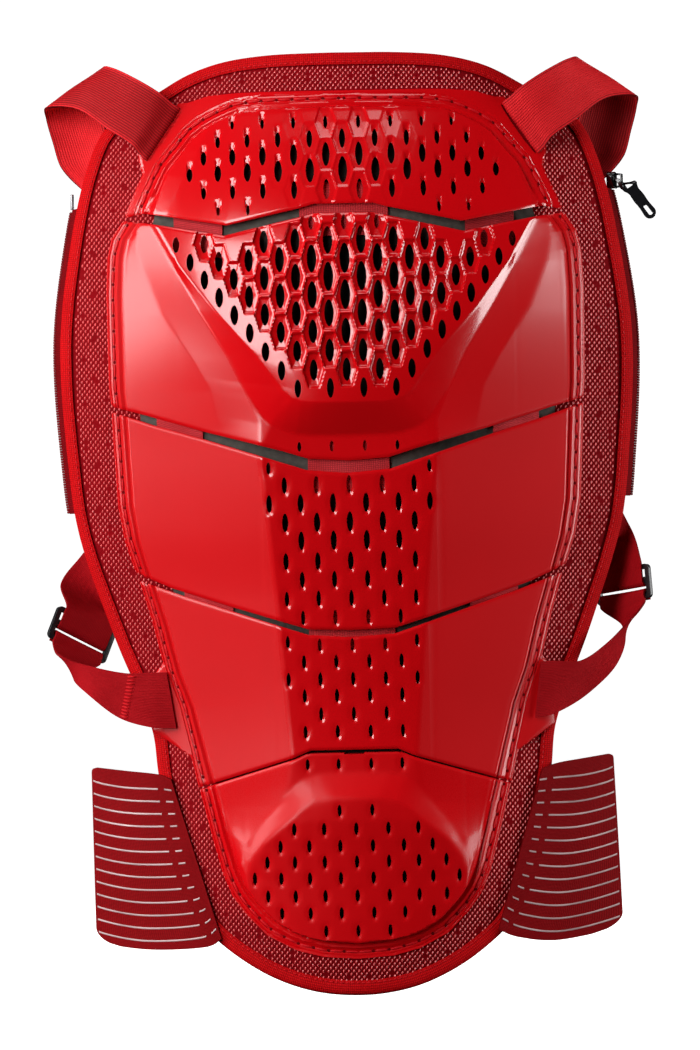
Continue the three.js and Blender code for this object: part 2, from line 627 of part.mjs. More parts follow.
// One section of a shell from the spine outwards: places and heights above the pad
function shellProfile(shell, t) {
  const read = (column) => readLine(shell.sections, 't', column, t);
  const half = readLine(shell.sides, 't', 'half', t);
  const crownX = half - flangeWidth - stepWidth;
  const foot = Math.min(read('foot'), crownX - bevelLeast);
  const ridge = Math.min(read('ridge'), foot - bevelLeast);
  const middle = (share) => ({
    x: ridge * share,
    rise: read('ridgeRise') + crownBulge * (1 - share * share),
  });
  const side = (share) => ({
    x: THREE.MathUtils.lerp(foot, crownX, share),
    rise: THREE.MathUtils.lerp(read('footRise'), read('crown'), share),
  });
  const profile = [
    middle(0), middle(1 / 3), middle(2 / 3), middle(1),
    side(0), side(1 / 3), side(2 / 3), side(1),
    { x: half - flangeWidth, rise: flangeRise },
    { x: half + read('ear'), rise: flangeRise },
  ];
  return profile.map(({ x, rise }) => ({ x, rise: flangeRise + read('lift') * (rise - flangeRise) }));
}

function shellHeight(shell, x, t) {
  const top = readLine(shell.top, 'x', 'z', Math.abs(x));
  const bottom = readLine(shell.bottom, 'x', 'z', Math.abs(x));
  return THREE.MathUtils.lerp(top, bottom, t);
}

function shellFront(shell, x, z) {
  const top = shellHeight(shell, x, 0);
  const bottom = shellHeight(shell, x, 1);
  const profile = shellProfile(shell, (z - top) / (bottom - top));
  return padFront(x, z) - readLine(profile, 'x', 'rise', Math.abs(x));
}

function shellGeometry(shell) {
  const front = [];
  const back = [];
  for (const { t } of shell.sections) {
    const right = shellProfile(shell, t);
    const left = right.slice(1).reverse().map(({ x, rise }) => ({ x: -x, rise }));
    const row = [...left, ...right].map(({ x, rise }) => {
      const z = shellHeight(shell, x, t);
      return new THREE.Vector3(x, padFront(x, z) - rise, z);
    });
    front.push(row);
    back.push(row.map((point) => point.clone().setY(point.y + shellWall)));
  }
  return wallGeometry(front, back);
}

// A pointed slot that runs through the wall of a shell
function slotCutter(x, y, z, long) {
  const tall = long / 2;
  const wide = tall * slotAspect;
  const corners = [[0, tall], [-wide, 0], [0, -tall], [wide, 0]];
  const outline = new THREE.Shape(corners.map(([px, py]) => new THREE.Vector2(px, py)));
  const cutter = new THREE.ExtrudeGeometry(outline, { depth: slotDepth, bevelEnabled: false });
  cutter.translate(0, 0, -slotDepth / 2);
  cutter.rotateX(Math.PI / 2);
  cutter.translate(x, y + shellWall / 2, z);
  return cutter;
}

function fieldCutters(shell, field) {
  const cutters = [];
  for (const row of field) {
    for (let column = row.first; column <= row.last; column += 2) {
      const x = columnPitch * column - columnSquash * column * column;
      const long = row.long * (1 - slotFade * column);
      const hands = column === 0 ? [0] : [-1, 1];
      for (const hand of hands) cutters.push(slotCutter(hand * x, shellFront(shell, x, row.z), row.z, long));
    }
  }
  return cutters;
}

function addShells() {
  for (const shell of shells) {
    const whole = shellGeometry(shell);
    const field = slotFields[shell.name];
    if (field) {
      const cut = toManifold(whole).subtract(toManifold(mergeGeometries(fieldCutters(shell, field))));
      addPiece(shell.name, fromManifold(cut), 'shellRed');
    } else {
      addPiece(shell.name, whole, 'shellRed');
    }
  }
}

// Foam: full in the middle, thin at its edges
function foamRise(x, z) {
  const half = readLine(foamRows, 'z', 'half', z);
  const rise = readLine(foamRows, 'z', 'rise', z);
  const share = THREE.MathUtils.clamp((half - Math.abs(x)) / (half - foamShoulder), 0, 1);
  return foamEdgeRise + (Math.max(rise, foamEdgeRise) - foamEdgeRise) * share;
}

function addFoam() {
  const depth = foamRows[0].z - foamRows[foamRows.length - 1].z;
  const heights = Array.from({ length: foamSteps + 1 }, (_, i) => foamRows[0].z - (depth * i) / foamSteps);
  const columns = [...foamShares.slice(1).map((share) => -share).reverse(), ...foamShares];
  const front = [];
  const back = [];
  for (const z of heights) {
    const half = readLine(foamRows, 'z', 'half', z);
    front.push(columns.map((share) => {
      const x = share * half;
      return new THREE.Vector3(x, padFront(x, z) - foamRise(x, z), z);
    }));
    back.push(columns.map((share) => {
      const x = share * half;
      return new THREE.Vector3(x, padFront(x, z) - foamLift, z);
    }));
  }
  addPiece('foam_core', wallGeometry(front, back), 'foamGrey');
}

function addLinks() {
  const parts = [0, 0.5, 1];
  for (const { slot, side, x, width } of linkRows) {
    const edges = slotEdges[slot - 1];
    const front = [];
    const back = [];
    for (const down of parts) {
      const frontRow = [];
      const backRow = [];
      for (const across of parts) {
        const px = x + (across - 0.5) * width;
        const top = readLine(edges.above, 'x', 'z', Math.abs(px)) + linkReach;
        const bottom = readLine(edges.below, 'x', 'z', Math.abs(px)) - linkReach;
        const z = THREE.MathUtils.lerp(top, bottom, down);
        const seat = padFront(px, z) - foamRise(px, z) - linkSeat;
        frontRow.push(new THREE.Vector3(px, seat - linkWall, z));
        backRow.push(new THREE.Vector3(px, seat, z));
      }
      front.push(frontRow);
      back.push(backRow);
    }
    addPiece(`link_${slot}_${side}`, wallGeometry(front, back), 'linkRed');
  }
}

// Both edges of a strap row; a seated row rests on the flange in front or on the pad behind
function strapPoints(row, hand, thickness) {
  const seats = {
    front: (x, z) => padFront(x, z) - flangeRise - seatGap - thickness / 2,
    back: (x, z) => backAt(x, z) + backSeat + thickness / 2,
  };
  const place = (x, y, z) => new THREE.Vector3(hand * x, row.seat ? seats[row.seat](x, z) : y, z);
  return { a: place(row.ax, row.ay, row.az), b: place(row.bx, row.by, row.bz) };
}

function addShoulderStraps() {
  for (const [name, hand] of [['left', -1], ['right', 1]]) {
    const points = shoulderRows.map((row) => strapPoints(row, hand, strapWall));
    const edgeA = smoothLine(points.map(({ a }) => a), shoulderSteps);
    const edgeB = smoothLine(points.map(({ b }) => b), shoulderSteps);
    addPiece(`shoulder_strap_${name}`, bandGeometry(edgeA, edgeB, strapWall), 'elasticRed');
  }
}

// The adjuster's own frame: long axis across the webbing, tall axis along it, and out to the front
function adjusterFrame({ outer, inner, turn }) {
  const [p, q] = [new THREE.Vector3(...outer), new THREE.Vector3(...inner)];
  const across = q.clone().sub(p).normalize();
  const up = new THREE.Vector3(0, turn, 1);
  const along = up.addScaledVector(across, -up.dot(across)).normalize();
  const out = across.clone().cross(along);
  if (out.y > 0) out.negate();
  return { middle: p.add(q).multiplyScalar(0.5), across, along, out };
}

function roundedRectangle(width, height, corner) {
  const [x, y] = [width / 2, height / 2];
  const outline = new THREE.Shape();
  outline.absarc(x - corner, y - corner, corner, 0, Math.PI / 2);
  outline.absarc(-x + corner, y - corner, corner, Math.PI / 2, Math.PI);
  outline.absarc(-x + corner, -y + corner, corner, Math.PI, 1.5 * Math.PI);
  outline.absarc(x - corner, -y + corner, corner, 1.5 * Math.PI, 2 * Math.PI);
  outline.closePath();
  return outline;
}

function addAdjuster(name, frame) {
  const { long, tall, thick, corner, slotLong, slotTall, bar } = adjusterSize;
  const plate = new THREE.ExtrudeGeometry(roundedRectangle(long, tall, corner), {
    depth: thick, bevelEnabled: false, curveSegments: 3,
  });
  plate.translate(0, 0, -thick / 2);
  const slotCentre = (bar + slotTall) / 2;
  const slot = new THREE.BoxGeometry(slotLong, slotTall, thick * 2).translate(0, slotCentre, 0);
  const slots = mergeGeometries([slot, slot.clone().translate(0, -2 * slotCentre, 0)]);
  const geometry = fromManifold(toManifold(plate).subtract(toManifold(slots)));
  const mesh = addPiece(`tri_glide_${name}`, geometry, 'plasticBlack');
  const facing = frame.across.clone().cross(frame.along);
  mesh.quaternion.setFromRotationMatrix(new THREE.Matrix4().makeBasis(frame.across, frame.along, facing));
  mesh.position.copy(frame.middle);
}

// One webbing from the ear, through the adjuster's two slots, to the pad's back
function addWaistWebbing(side) {
  const frame = adjusterFrame(side.adjuster);
  const threaded = threadRows.map(({ along, out }) => {
    const centre = frame.middle.clone().addScaledVector(frame.along, along).addScaledVector(frame.out, out);
    const a = centre.clone().addScaledVector(frame.across, -webbingWidth / 2);
    const b = centre.clone().addScaledVector(frame.across, webbingWidth / 2);
    return { a, b };
  });
  const below = side.below.map((row) => strapPoints(row, 1, webbingWall));
  const above = side.above.map((row) => strapPoints(row, 1, webbingWall));
  const edge = (key) => {
    const lower = smoothLine([...below, threaded[0]].map((row) => row[key]), webbingSteps);
    const upper = smoothLine([threaded[threaded.length - 1], ...above].map((row) => row[key]), webbingSteps / 2);
    return [...lower, ...threaded.slice(1, -1).map((row) => row[key]), ...upper];
  };
  addPiece(`side_strap_${side.name}`, bandGeometry(edge('a'), edge('b'), webbingWall), 'elasticRed');
  addAdjuster(side.name, frame);
}

function addWing({ name, rows }) {
  const topEdge = new THREE.SplineCurve(rows.map((row) => new THREE.Vector2(row.topX, row.topZ)));
  const bottomEdge = new THREE.SplineCurve(rows.map((row) => new THREE.Vector2(row.bottomX, row.bottomZ)));
  const front = [];
  const back = [];
  for (let step = 0; step <= wingSteps; step += 1) {
    const top = topEdge.getPoint(step / wingSteps);
    const bottom = bottomEdge.getPoint(step / wingSteps);
    const frontRow = [];
    for (let band = 0; band <= wingBands; band += 1) {
      const place = top.clone().lerp(bottom, band / wingBands);
      frontRow.push(new THREE.Vector3(place.x, backAt(place.x, place.y) - wingStand - wingWall, place.y));
    }
    front.push(frontRow);
    back.push(frontRow.map((point) => point.clone().setY(point.y + wingWall)));
  }
  addPiece(`waist_wing_${name}`, wallGeometry(front, back), 'elasticRed');
}

// Edge of the binding at one height, a little clear of it
function zipSeam(hand, z) {
  const x = readCurve(padRows, 'edge', 'half', z);
  const rimMiddle = rimLean * (padThickness - rimThickness) + rimThickness / 2;
  const normal = backNormal(x, z);
  const outward = new THREE.Vector3(-normal.y, normal.x, 0).normalize();
  const seam = new THREE.Vector3(x, backAt(x, z) - rimMiddle, z).addScaledVector(outward, seatGap);
  seam.x *= hand;
  return seam;
}

function addZip({ name, hand, top, bottom }) {
  const turn = zipTurn.clone().multiply(new THREE.Vector3(hand, 1, 1));
  const heights = Array.from({ length: zipSteps }, (_, i) => THREE.MathUtils.lerp(top, bottom, i / (zipSteps - 1)));
  const seam = heights.map((z) => zipSeam(hand, z));
  const offset = (distance) => seam.map((point) => point.clone().addScaledVector(turn, distance));
  const chainStart = tapeWidth + seatGap;
  addPiece(`zip_tape_${name}`, bandGeometry(seam, offset(tapeWidth), tapeWall), 'meshRed');
  const chain = bandGeometry(offset(chainStart), offset(chainStart + chainWidth), chainWall);
  addPiece(`zip_chain_${name}`, chain, 'zipBlack');
  return offset(chainStart + chainWidth / 2)[0];
}

// The slider's local axes: x across the zip, y up along it, z out of its face
function sliderGeometry() {
  const { shoulder, shoulderAt, waist, tall, thick, bridge, sink } = sliderSize;
  const plan = new THREE.Shape();
  plan.moveTo(-waist, -tall / 2);
  plan.lineTo(waist, -tall / 2);
  plan.lineTo(shoulder, shoulderAt);
  plan.quadraticCurveTo(shoulder, tall / 2, 0, tall / 2);
  plan.quadraticCurveTo(-shoulder, tall / 2, -shoulder, shoulderAt);
  plan.closePath();
  const body = new THREE.ExtrudeGeometry(plan, { depth: thick, bevelEnabled: false, curveSegments: 5 });
  body.translate(0, 0, -thick / 2);
  const foot = thick / 2 - sink;
  const arch = new THREE.Shape();
  arch.moveTo(bridgeOuter.footLow, foot);
  arch.lineTo(bridgeInner.footLow, foot);
  arch.lineTo(bridgeInner.topLow, pullAxisOut + bridgeInner.top);
  arch.lineTo(bridgeInner.topHigh, pullAxisOut + bridgeInner.top);
  arch.lineTo(bridgeInner.footHigh, foot);
  arch.lineTo(bridgeOuter.footHigh, foot);
  arch.lineTo(bridgeOuter.topHigh, pullAxisOut + bridgeOuter.top);
  arch.lineTo(bridgeOuter.topLow, pullAxisOut + bridgeOuter.top);
  arch.closePath();
  const bail = new THREE.ExtrudeGeometry(arch, { depth: bridge, bevelEnabled: false });
  bail.translate(0, 0, -bridge / 2);
  const toSide = new THREE.Matrix4().makeBasis(
    new THREE.Vector3(0, 1, 0), new THREE.Vector3(0, 0, 1), new THREE.Vector3(1, 0, 0));
  bail.applyMatrix4(toSide);
  return fromManifold(toManifold(body).add(toManifold(bail)));
}

// The pull hangs along -y from a bar that passes under the slider's bridge
function pullGeometry() {
  const { thick, ringHalf, neckHalf, neckBend, tabHalf, long, slotHalf, slotEnd, eyeLong } = pullSize;
  const neckAt = -slotEnd - 2 * neckBend;
  const bar = thick / 2;
  const outline = new THREE.Shape();
  outline.moveTo(-ringHalf, bar);
  outline.lineTo(-ringHalf, -slotEnd);
  outline.quadraticCurveTo(-neckHalf, -slotEnd - neckBend, -neckHalf, neckAt);
  outline.lineTo(-tabHalf, -long + tabHalf);
  outline.absarc(0, -long + tabHalf, tabHalf, Math.PI, 2 * Math.PI);
  outline.lineTo(neckHalf, neckAt);
  outline.quadraticCurveTo(neckHalf, -slotEnd - neckBend, ringHalf, -slotEnd);
  outline.lineTo(ringHalf, bar);
  outline.closePath();
  const plate = new THREE.ExtrudeGeometry(outline, { depth: thick, bevelEnabled: false, curveSegments: 4 });
  plate.translate(0, 0, -thick / 2);
  const slotLong = slotEnd - bar;
  const slot = new THREE.BoxGeometry(slotHalf * 2, slotLong, thick * 2).translate(0, -bar - slotLong / 2, 0);
  const eyeOutline = roundedRectangle((tabHalf * 2) / 3, eyeLong, tabHalf / 4);
  const eye = new THREE.ExtrudeGeometry(eyeOutline, { depth: thick * 2, bevelEnabled: false, curveSegments: 3 });
  eye.translate(0, -long + tabHalf + eyeLong / 4, -thick);
  return fromManifold(toManifold(plate).subtract(toManifold(slot)).subtract(toManifold(eye)));
}

function addSlider(chainTop) {
  const zip = new THREE.Group();
  const up = new THREE.Vector3(0, 0, 1);
  const out = zipTurn.clone().cross(up);
  zip.quaternion.setFromRotationMatrix(new THREE.Matrix4().makeBasis(zipTurn, up, out));
  zip.position.copy(chainTop).addScaledVector(up, sliderSize.tall / 2 + seatGap);
  guard.add(zip);
  addPiece('zip_slider', sliderGeometry(), 'pullBlack', zip);
  const pull = addPiece('zip_pull', pullGeometry(), 'pullBlack', zip);
  pull.position.z = pullAxisOut;
  pull.rotation.x = -THREE.MathUtils.degToRad(pullRaised);
}

function addPin(chainTop) {
  const { radius, long, sides } = pinSize;
  const pin = addPiece('zip_pin_left', new THREE.CylinderGeometry(radius, radius, long, sides), 'pinGrey');
  pin.rotation.x = Math.PI / 2;
  pin.position.copy(chainTop);
  pin.position.z += long / 2 + seatGap;
}

addPad();
addBinding();
addFoam();
addLinks();
addShells();
addShoulderStraps();
waistSides.forEach(addWaistWebbing);
wingSides.forEach(addWing);
const [leftChainTop, rightChainTop] = zipSides.map(addZip);
addPin(leftChainTop);
addSlider(rightChainTop);

export default guard;
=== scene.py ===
# Back guard of a motocross armour jacket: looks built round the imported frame
import math

import bpy
import numpy as np
from mathutils import Matrix, Vector
from mathutils.bvhtree import BVHTree


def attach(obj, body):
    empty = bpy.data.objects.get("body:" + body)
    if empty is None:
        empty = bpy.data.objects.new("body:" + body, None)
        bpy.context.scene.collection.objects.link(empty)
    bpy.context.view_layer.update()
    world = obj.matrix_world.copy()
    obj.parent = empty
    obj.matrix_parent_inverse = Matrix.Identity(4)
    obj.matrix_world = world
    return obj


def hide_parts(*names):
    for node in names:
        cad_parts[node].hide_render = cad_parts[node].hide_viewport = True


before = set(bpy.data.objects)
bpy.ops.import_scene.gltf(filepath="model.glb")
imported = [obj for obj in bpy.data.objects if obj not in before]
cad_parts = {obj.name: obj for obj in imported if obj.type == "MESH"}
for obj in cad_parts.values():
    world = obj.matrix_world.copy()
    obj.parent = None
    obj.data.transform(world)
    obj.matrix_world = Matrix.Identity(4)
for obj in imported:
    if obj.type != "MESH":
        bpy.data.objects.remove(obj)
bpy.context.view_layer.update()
mm = 0.001
print("frame loaded")


# Tables are read in straight steps or along a smooth curve
def readLine(xs, ys, at):
    order = np.argsort(xs)
    return np.interp(at, np.asarray(xs, float)[order], np.asarray(ys, float)[order])


def readCurve(xs, ys, at):
    order = np.argsort(xs)
    xs = np.asarray(xs, float)[order]
    ys = np.asarray(ys, float)[order]
    last = len(xs) - 1
    low = np.maximum(np.arange(last + 1) - 1, 0)
    high = np.minimum(np.arange(last + 1) + 1, last)
    slope = (ys[high] - ys[low]) / (xs[high] - xs[low])
    at = np.asarray(at, float)
    i = np.clip(np.searchsorted(xs, at), 1, last)
    span = xs[i] - xs[i - 1]
    u = (at - xs[i - 1]) / span
    lead = u * (1 - u) ** 2 * span * slope[i - 1]
    trail = u * u * (1 - u) * span * slope[i]
    return ys[i - 1] + (ys[i] - ys[i - 1]) * u * u * (3 - 2 * u) + lead - trail


def smoothStep(low, high, value):
    u = np.clip((value - low) / (high - low), 0, 1)
    return u * u * (3 - 2 * u)


def unit(v):
    return v / np.maximum(np.linalg.norm(v, axis=-1, keepdims=True), 1e-9)


def stack(x, y, z):
    x, y, z = np.broadcast_arrays(x, y, z)
    return np.stack([x, y, z], axis=-1).astype(float)


# Distance run along a line of points, and the line read at such distances
def runAlong(points):
    return np.concatenate([[0], np.cumsum(np.linalg.norm(np.diff(points, axis=0), axis=1))])


def readAlong(points, run, at):
    return np.stack([np.interp(at, run, column) for column in points.T], axis=-1)


# A smooth line through points, read by its share of the whole length
def pathThrough(points):
    points = np.asarray(points, float)
    run = runAlong(points)
    fine = np.linspace(0, run[-1], 400)
    dense = np.stack([readCurve(run, column, fine) for column in points.T], axis=-1)
    length = runAlong(dense)
    return lambda share: readAlong(dense, length, share * length[-1]), length[-1]


# The wearer's back that every piece is laid over, in millimetres
torso = {
    "wrap": 0.0019,
    "padThickness": 8,
    "heights": [-290, -247, -188, -113, -43, 0, 43, 113, 180, 246, 290],
    "setBack": [14, 12, 11.5, 13, 7, 0, -5, -11, -3, 21, 40],
}


def backAt(x, z):
    return readCurve(torso["heights"], torso["setBack"], z) + torso["wrap"] * np.asarray(x) ** 2


def padFront(x, z):
    return backAt(x, z) - torso["padThickness"]


def backNormal(x, z):
    acrossSlope = (backAt(x + 1, z) - backAt(x - 1, z)) / 2
    upSlope = (backAt(x, z + 1) - backAt(x, z - 1)) / 2
    return unit(stack(acrossSlope, -1, upSlope))


# Modelling helpers
def selectOnly(piece):
    bpy.ops.object.select_all(action="DESELECT")
    piece.select_set(True)
    bpy.context.view_layer.objects.active = piece


def applyModifier(piece, kind, **settings):
    selectOnly(piece)
    modifier = piece.modifiers.new(kind.lower(), kind)
    for key, value in settings.items():
        setattr(modifier, key, value)
    bpy.ops.object.modifier_apply(modifier=modifier.name)


def editMesh(piece, *steps):
    selectOnly(piece)
    bpy.ops.object.mode_set(mode="EDIT")
    bpy.ops.mesh.select_all(action="SELECT")
    for step in steps:
        step()
    bpy.ops.object.mode_set(mode="OBJECT")


def mergeDoubles():
    bpy.ops.mesh.remove_doubles(threshold=0.00002)


def faceOut():
    bpy.ops.mesh.normals_make_consistent(inside=False)


def bridgeRims():
    bpy.ops.mesh.select_all(action="DESELECT")
    bpy.ops.mesh.select_non_manifold(extend=False, use_wire=False, use_multi_face=False,
                                     use_non_contiguous=False, use_verts=False)
    bpy.ops.mesh.bridge_edge_loops()
    bpy.ops.mesh.select_all(action="SELECT")


def smoothBy(piece, degrees):
    selectOnly(piece)
    bpy.ops.object.shade_smooth_by_angle(angle=math.radians(degrees))


def readSpots(piece):
    spots = np.empty(3 * len(piece.data.vertices))
    piece.data.vertices.foreach_get("co", spots)
    return spots.reshape(-1, 3)


def writeSpots(piece, spots):
    piece.data.vertices.foreach_set("co", np.ascontiguousarray(spots, float).ravel())
    piece.data.update()


def newShape(operator, **settings):
    bpy.ops.object.select_all(action="DESELECT")
    operator(**settings)
    return bpy.context.object


# A flat grid whose points are laid out in millimetres by place(across share, up share)
def gridPiece(name, across, along, place):
    piece = newShape(bpy.ops.mesh.primitive_grid_add, x_subdivisions=across, y_subdivisions=along, size=2)
    piece.name = name
    piece.data.name = name
    spots = readSpots(piece)
    writeSpots(piece, place((spots[:, 0] + 1) / 2, (spots[:, 1] + 1) / 2) * mm)
    return piece


def joinPieces(name, pieces):
    bpy.ops.object.select_all(action="DESELECT")
    for piece in pieces:
        piece.select_set(True)
    bpy.context.view_layer.objects.active = pieces[0]
    if len(pieces) > 1:
        bpy.ops.object.join()
    pieces[0].name = name
    pieces[0].data.name = name
    return pieces[0]


# Two faces, front and back, closed at the rim
def cushionPiece(name, across, along, face, degrees):
    front = gridPiece(name + "_front", across, along, lambda u, v: face(u, v, True))
    back = gridPiece(name + "_back", across, along, lambda u, v: face(1 - u, v, False))
    piece = joinPieces(name, [front, back])
    editMesh(piece, mergeDoubles)
    smoothBy(piece, degrees)
    return piece


def thicken(piece, wall, offset, degrees):
    applyModifier(piece, "SOLIDIFY", thickness=wall * mm, offset=offset)
    smoothBy(piece, degrees)


def roundEdges(piece, width, segments, degrees):
    applyModifier(piece, "BEVEL", width=width * mm, segments=segments, limit_method="ANGLE",
                  angle_limit=math.radians(degrees))


def paintPoints(piece, name, values):
    layer = piece.data.attributes.new(name, "FLOAT", "POINT")
    layer.data.foreach_set("value", values.astype(np.float32))


def surfaceOf(piece):
    return BVHTree.FromObject(piece, bpy.context.evaluated_depsgraph_get())


# Where a ray that starts in front of a surface meets it
def frontHit(surface, x, z):
    return surface.ray_cast(Vector((x * mm, -0.3, z * mm)), Vector((0, 1, 0)))[0]


# One small shape is repeated as a joined mesh; origins and axes are in millimetres
def stampPiece(name, pattern, origins, axes):
    spots = readSpots(pattern)
    faces = [tuple(f.vertices) for f in pattern.data.polygons]
    bpy.data.objects.remove(pattern)
    placed = np.einsum("vk,nkc->nvc", spots, axes) + np.asarray(origins)[:, None, :]
    count = len(spots)
    allFaces = [tuple(i + count * n for i in face) for n in range(len(origins)) for face in faces]
    mesh = bpy.data.meshes.new(name)
    mesh.from_pydata((placed.reshape(-1, 3) * mm).tolist(), [], allFaces)
    mesh.update()
    piece = bpy.data.objects.new(name, mesh)
    bpy.context.scene.collection.objects.link(piece)
    return piece


# A rounded pill of millimetre size: long in x, wide in y, high in z
def pillPattern(long, wide, high, segments=8, rings=5):
    pattern = newShape(bpy.ops.mesh.primitive_uv_sphere_add, segments=segments, ring_count=rings, radius=0.5)
    editMesh(pattern, lambda: bpy.ops.transform.resize(value=(long, wide, high)))
    return pattern


# Stitches sink into the cloth; start is the first one's share of a pitch
stitching = {
    "shell": {"pitch": 9.1, "long": 8.0, "wide": 1.5, "high": 1.1, "sink": 0.2},
    # Dark pills between the stitches stand for the shade in the needle holes: painted shade
    "holeShade": {"pitch": 9.1, "long": 2.0, "wide": 1.9, "high": 0.6, "sink": 0.15, "start": 0.0},
    "binding": {"pitch": 3.1, "long": 2.2, "wide": 0.7, "high": 0.5},
}


def stitchRow(name, points, normals, pitch, long, wide, high, sink=0.1, start=0.5, nudge=0.3):
    run = runAlong(points)
    at = np.arange(pitch * start, run[-1], pitch)
    spots, up = readAlong(points, run, at), unit(readAlong(normals, run, at))
    along = unit(readAlong(points, run, at + nudge) - readAlong(points, run, at - nudge))
    axes = np.stack([along, unit(np.cross(up, along)), up], axis=1)
    return stampPiece(name, pillPattern(long, wide, high), spots + up * (high / 2 - sink), axes)


def sew(piece, finish="thread"):
    smoothBy(piece, 60)
    dress(piece, finishes[finish])


def cadCopy(name, node):
    piece = bpy.data.objects.new(name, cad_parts[node].data.copy())
    piece.data.materials.clear()
    bpy.context.scene.collection.objects.link(piece)
    editMesh(piece, mergeDoubles, lambda: bpy.ops.mesh.dissolve_limited(angle_limit=math.radians(1)))
    return piece


def dress(piece, material, body="guard", nodes=()):
    piece.data.materials.clear()
    piece.data.materials.append(material)
    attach(piece, body)
    if nodes:
        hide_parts(*nodes)


# Shader helpers
def addNode(tree, kind, **settings):
    node = tree.nodes.new(kind)
    for key, value in settings.items():
        setattr(node, key, value)
    return node


# Inputs are named as i0, i1 by their place, or by their title with _ for a space
def feed(tree, node, **inputs):
    for key, value in inputs.items():
        numbered = key[0] == "i" and key[1:].isdigit()
        socket = node.inputs[int(key[1:]) if numbered else key.replace("_", " ")]
        if isinstance(value, bpy.types.NodeSocket):
            tree.links.new(value, socket)
        else:
            socket.default_value = value
    return node


def mathNode(tree, operation, first, second=0.0, third=0.0):
    node = addNode(tree, "ShaderNodeMath", operation=operation)
    return feed(tree, node, i0=first, i1=second, i2=third).outputs[0]


def timesColor(tree, color, factor):
    mix = addNode(tree, "ShaderNodeMix", data_type="RGBA", blend_type="MULTIPLY")
    return feed(tree, mix, i0=1.0, i6=color, i7=factor).outputs[2]


def newGroup(name, inputs, outputs):
    tree = bpy.data.node_groups.new(name, "ShaderNodeTree")
    for title, kind, value in inputs:
        socket = tree.interface.new_socket(title, in_out="INPUT", socket_type=kind)
        if value is not None:
            socket.default_value = value
    for title, kind in outputs:
        tree.interface.new_socket(title, in_out="OUTPUT", socket_type=kind)
    return tree, addNode(tree, "NodeGroupInput").outputs, addNode(tree, "NodeGroupOutput").inputs


# Grain: slow blotches in the colour and fine unevenness in the gloss and the surface
def makeGrain():
    tree, given, put = newGroup("grain", [
        ("Vector", "NodeSocketVector", None),
        ("Dark", "NodeSocketColor", (0.1, 0, 0, 1)),
        ("Light", "NodeSocketColor", (0.3, 0, 0, 1)),
        ("Blotch Scale", "NodeSocketFloat", 30.0),
        ("Fine Scale", "NodeSocketFloat", 900.0),
        ("Rough Low", "NodeSocketFloat", 0.2),
        ("Rough High", "NodeSocketFloat", 0.4),
    ], [("Color", "NodeSocketColor"), ("Roughness", "NodeSocketFloat"), ("Height", "NodeSocketFloat")])
    blotch = addNode(tree, "ShaderNodeTexNoise")
    feed(tree, blotch, Vector=given["Vector"], Scale=given["Blotch Scale"], Detail=4.0)
    fine = addNode(tree, "ShaderNodeTexNoise")
    feed(tree, fine, Vector=given["Vector"], Scale=given["Fine Scale"], Detail=2.0)
    share = mathNode(tree, "MULTIPLY_ADD", blotch.outputs["Fac"], 1.6, -0.3)
    share.node.use_clamp = True
    mix = addNode(tree, "ShaderNodeMix", data_type="RGBA")
    feed(tree, mix, i0=share, i6=given["Dark"], i7=given["Light"])
    span = mathNode(tree, "SUBTRACT", given["Rough High"], given["Rough Low"])
    rough = mathNode(tree, "MULTIPLY_ADD", fine.outputs["Fac"], span, given["Rough Low"])
    tree.links.new(mix.outputs[2], put["Color"])
    tree.links.new(rough, put["Roughness"])
    tree.links.new(fine.outputs["Fac"], put["Height"])
    return tree


# Weave and ribs are read on a vector that counts threads
def threadGroup(name):
    tree, given, put = newGroup(name, [("Threads", "NodeSocketVector", None)],
                                [("Height", "NodeSocketFloat"), ("Shade", "NodeSocketFloat")])
    parts = feed(tree, addNode(tree, "ShaderNodeSeparateXYZ"), Vector=given["Threads"])
    return tree, parts.outputs[0], parts.outputs[1], put


def threadRound(tree, value):
    return mathNode(tree, "SINE", mathNode(tree, "MULTIPLY", mathNode(tree, "FRACT", value), math.pi))


# Shade multiplies the colour: painted shade where the thread height is low
def putThreads(tree, put, height, gain, floor):
    tree.links.new(height, put["Height"])
    tree.links.new(mathNode(tree, "MULTIPLY_ADD", height, gain, floor), put["Shade"])
    return tree


# Weave: warp and weft threads that pass over each other; its Shade darkens the colour between the threads as
# painted shade
def makeWeave():
    tree, across, along, put = threadGroup("weave")
    parity = mathNode(tree, "ADD", mathNode(tree, "FLOOR", across), mathNode(tree, "FLOOR", along))
    parity = mathNode(tree, "PINGPONG", parity, 1.0)
    warpRound, weftRound = threadRound(tree, across), threadRound(tree, along)
    warp = mathNode(tree, "MULTIPLY", warpRound, mathNode(tree, "SQRT", weftRound))
    weft = mathNode(tree, "MULTIPLY", mathNode(tree, "SQRT", warpRound), weftRound)
    height = addNode(tree, "ShaderNodeMix", data_type="FLOAT")
    feed(tree, height, i0=parity, i2=warp, i3=weft)
    return putThreads(tree, put, height.outputs[0], 0.55, 0.45)


# Ribs: round cords side by side with a fine dotted twist along each; its Shade paints shade into the grooves
# and lightens the crests as painted light
def makeRibs():
    tree, across, along, put = threadGroup("ribs")
    slant = threadRound(tree, mathNode(tree, "ADD", along, across))
    twist = mathNode(tree, "MULTIPLY_ADD", slant, 0.45, 0.55)
    height = mathNode(tree, "MULTIPLY", threadRound(tree, across), twist)
    return putThreads(tree, put, height, 0.95, 0.2)


groups = {"grain": makeGrain(), "weave": makeWeave(), "ribs": makeRibs()}
reliefHigh = {"grain": 0.0002, "threads": 0.0003}
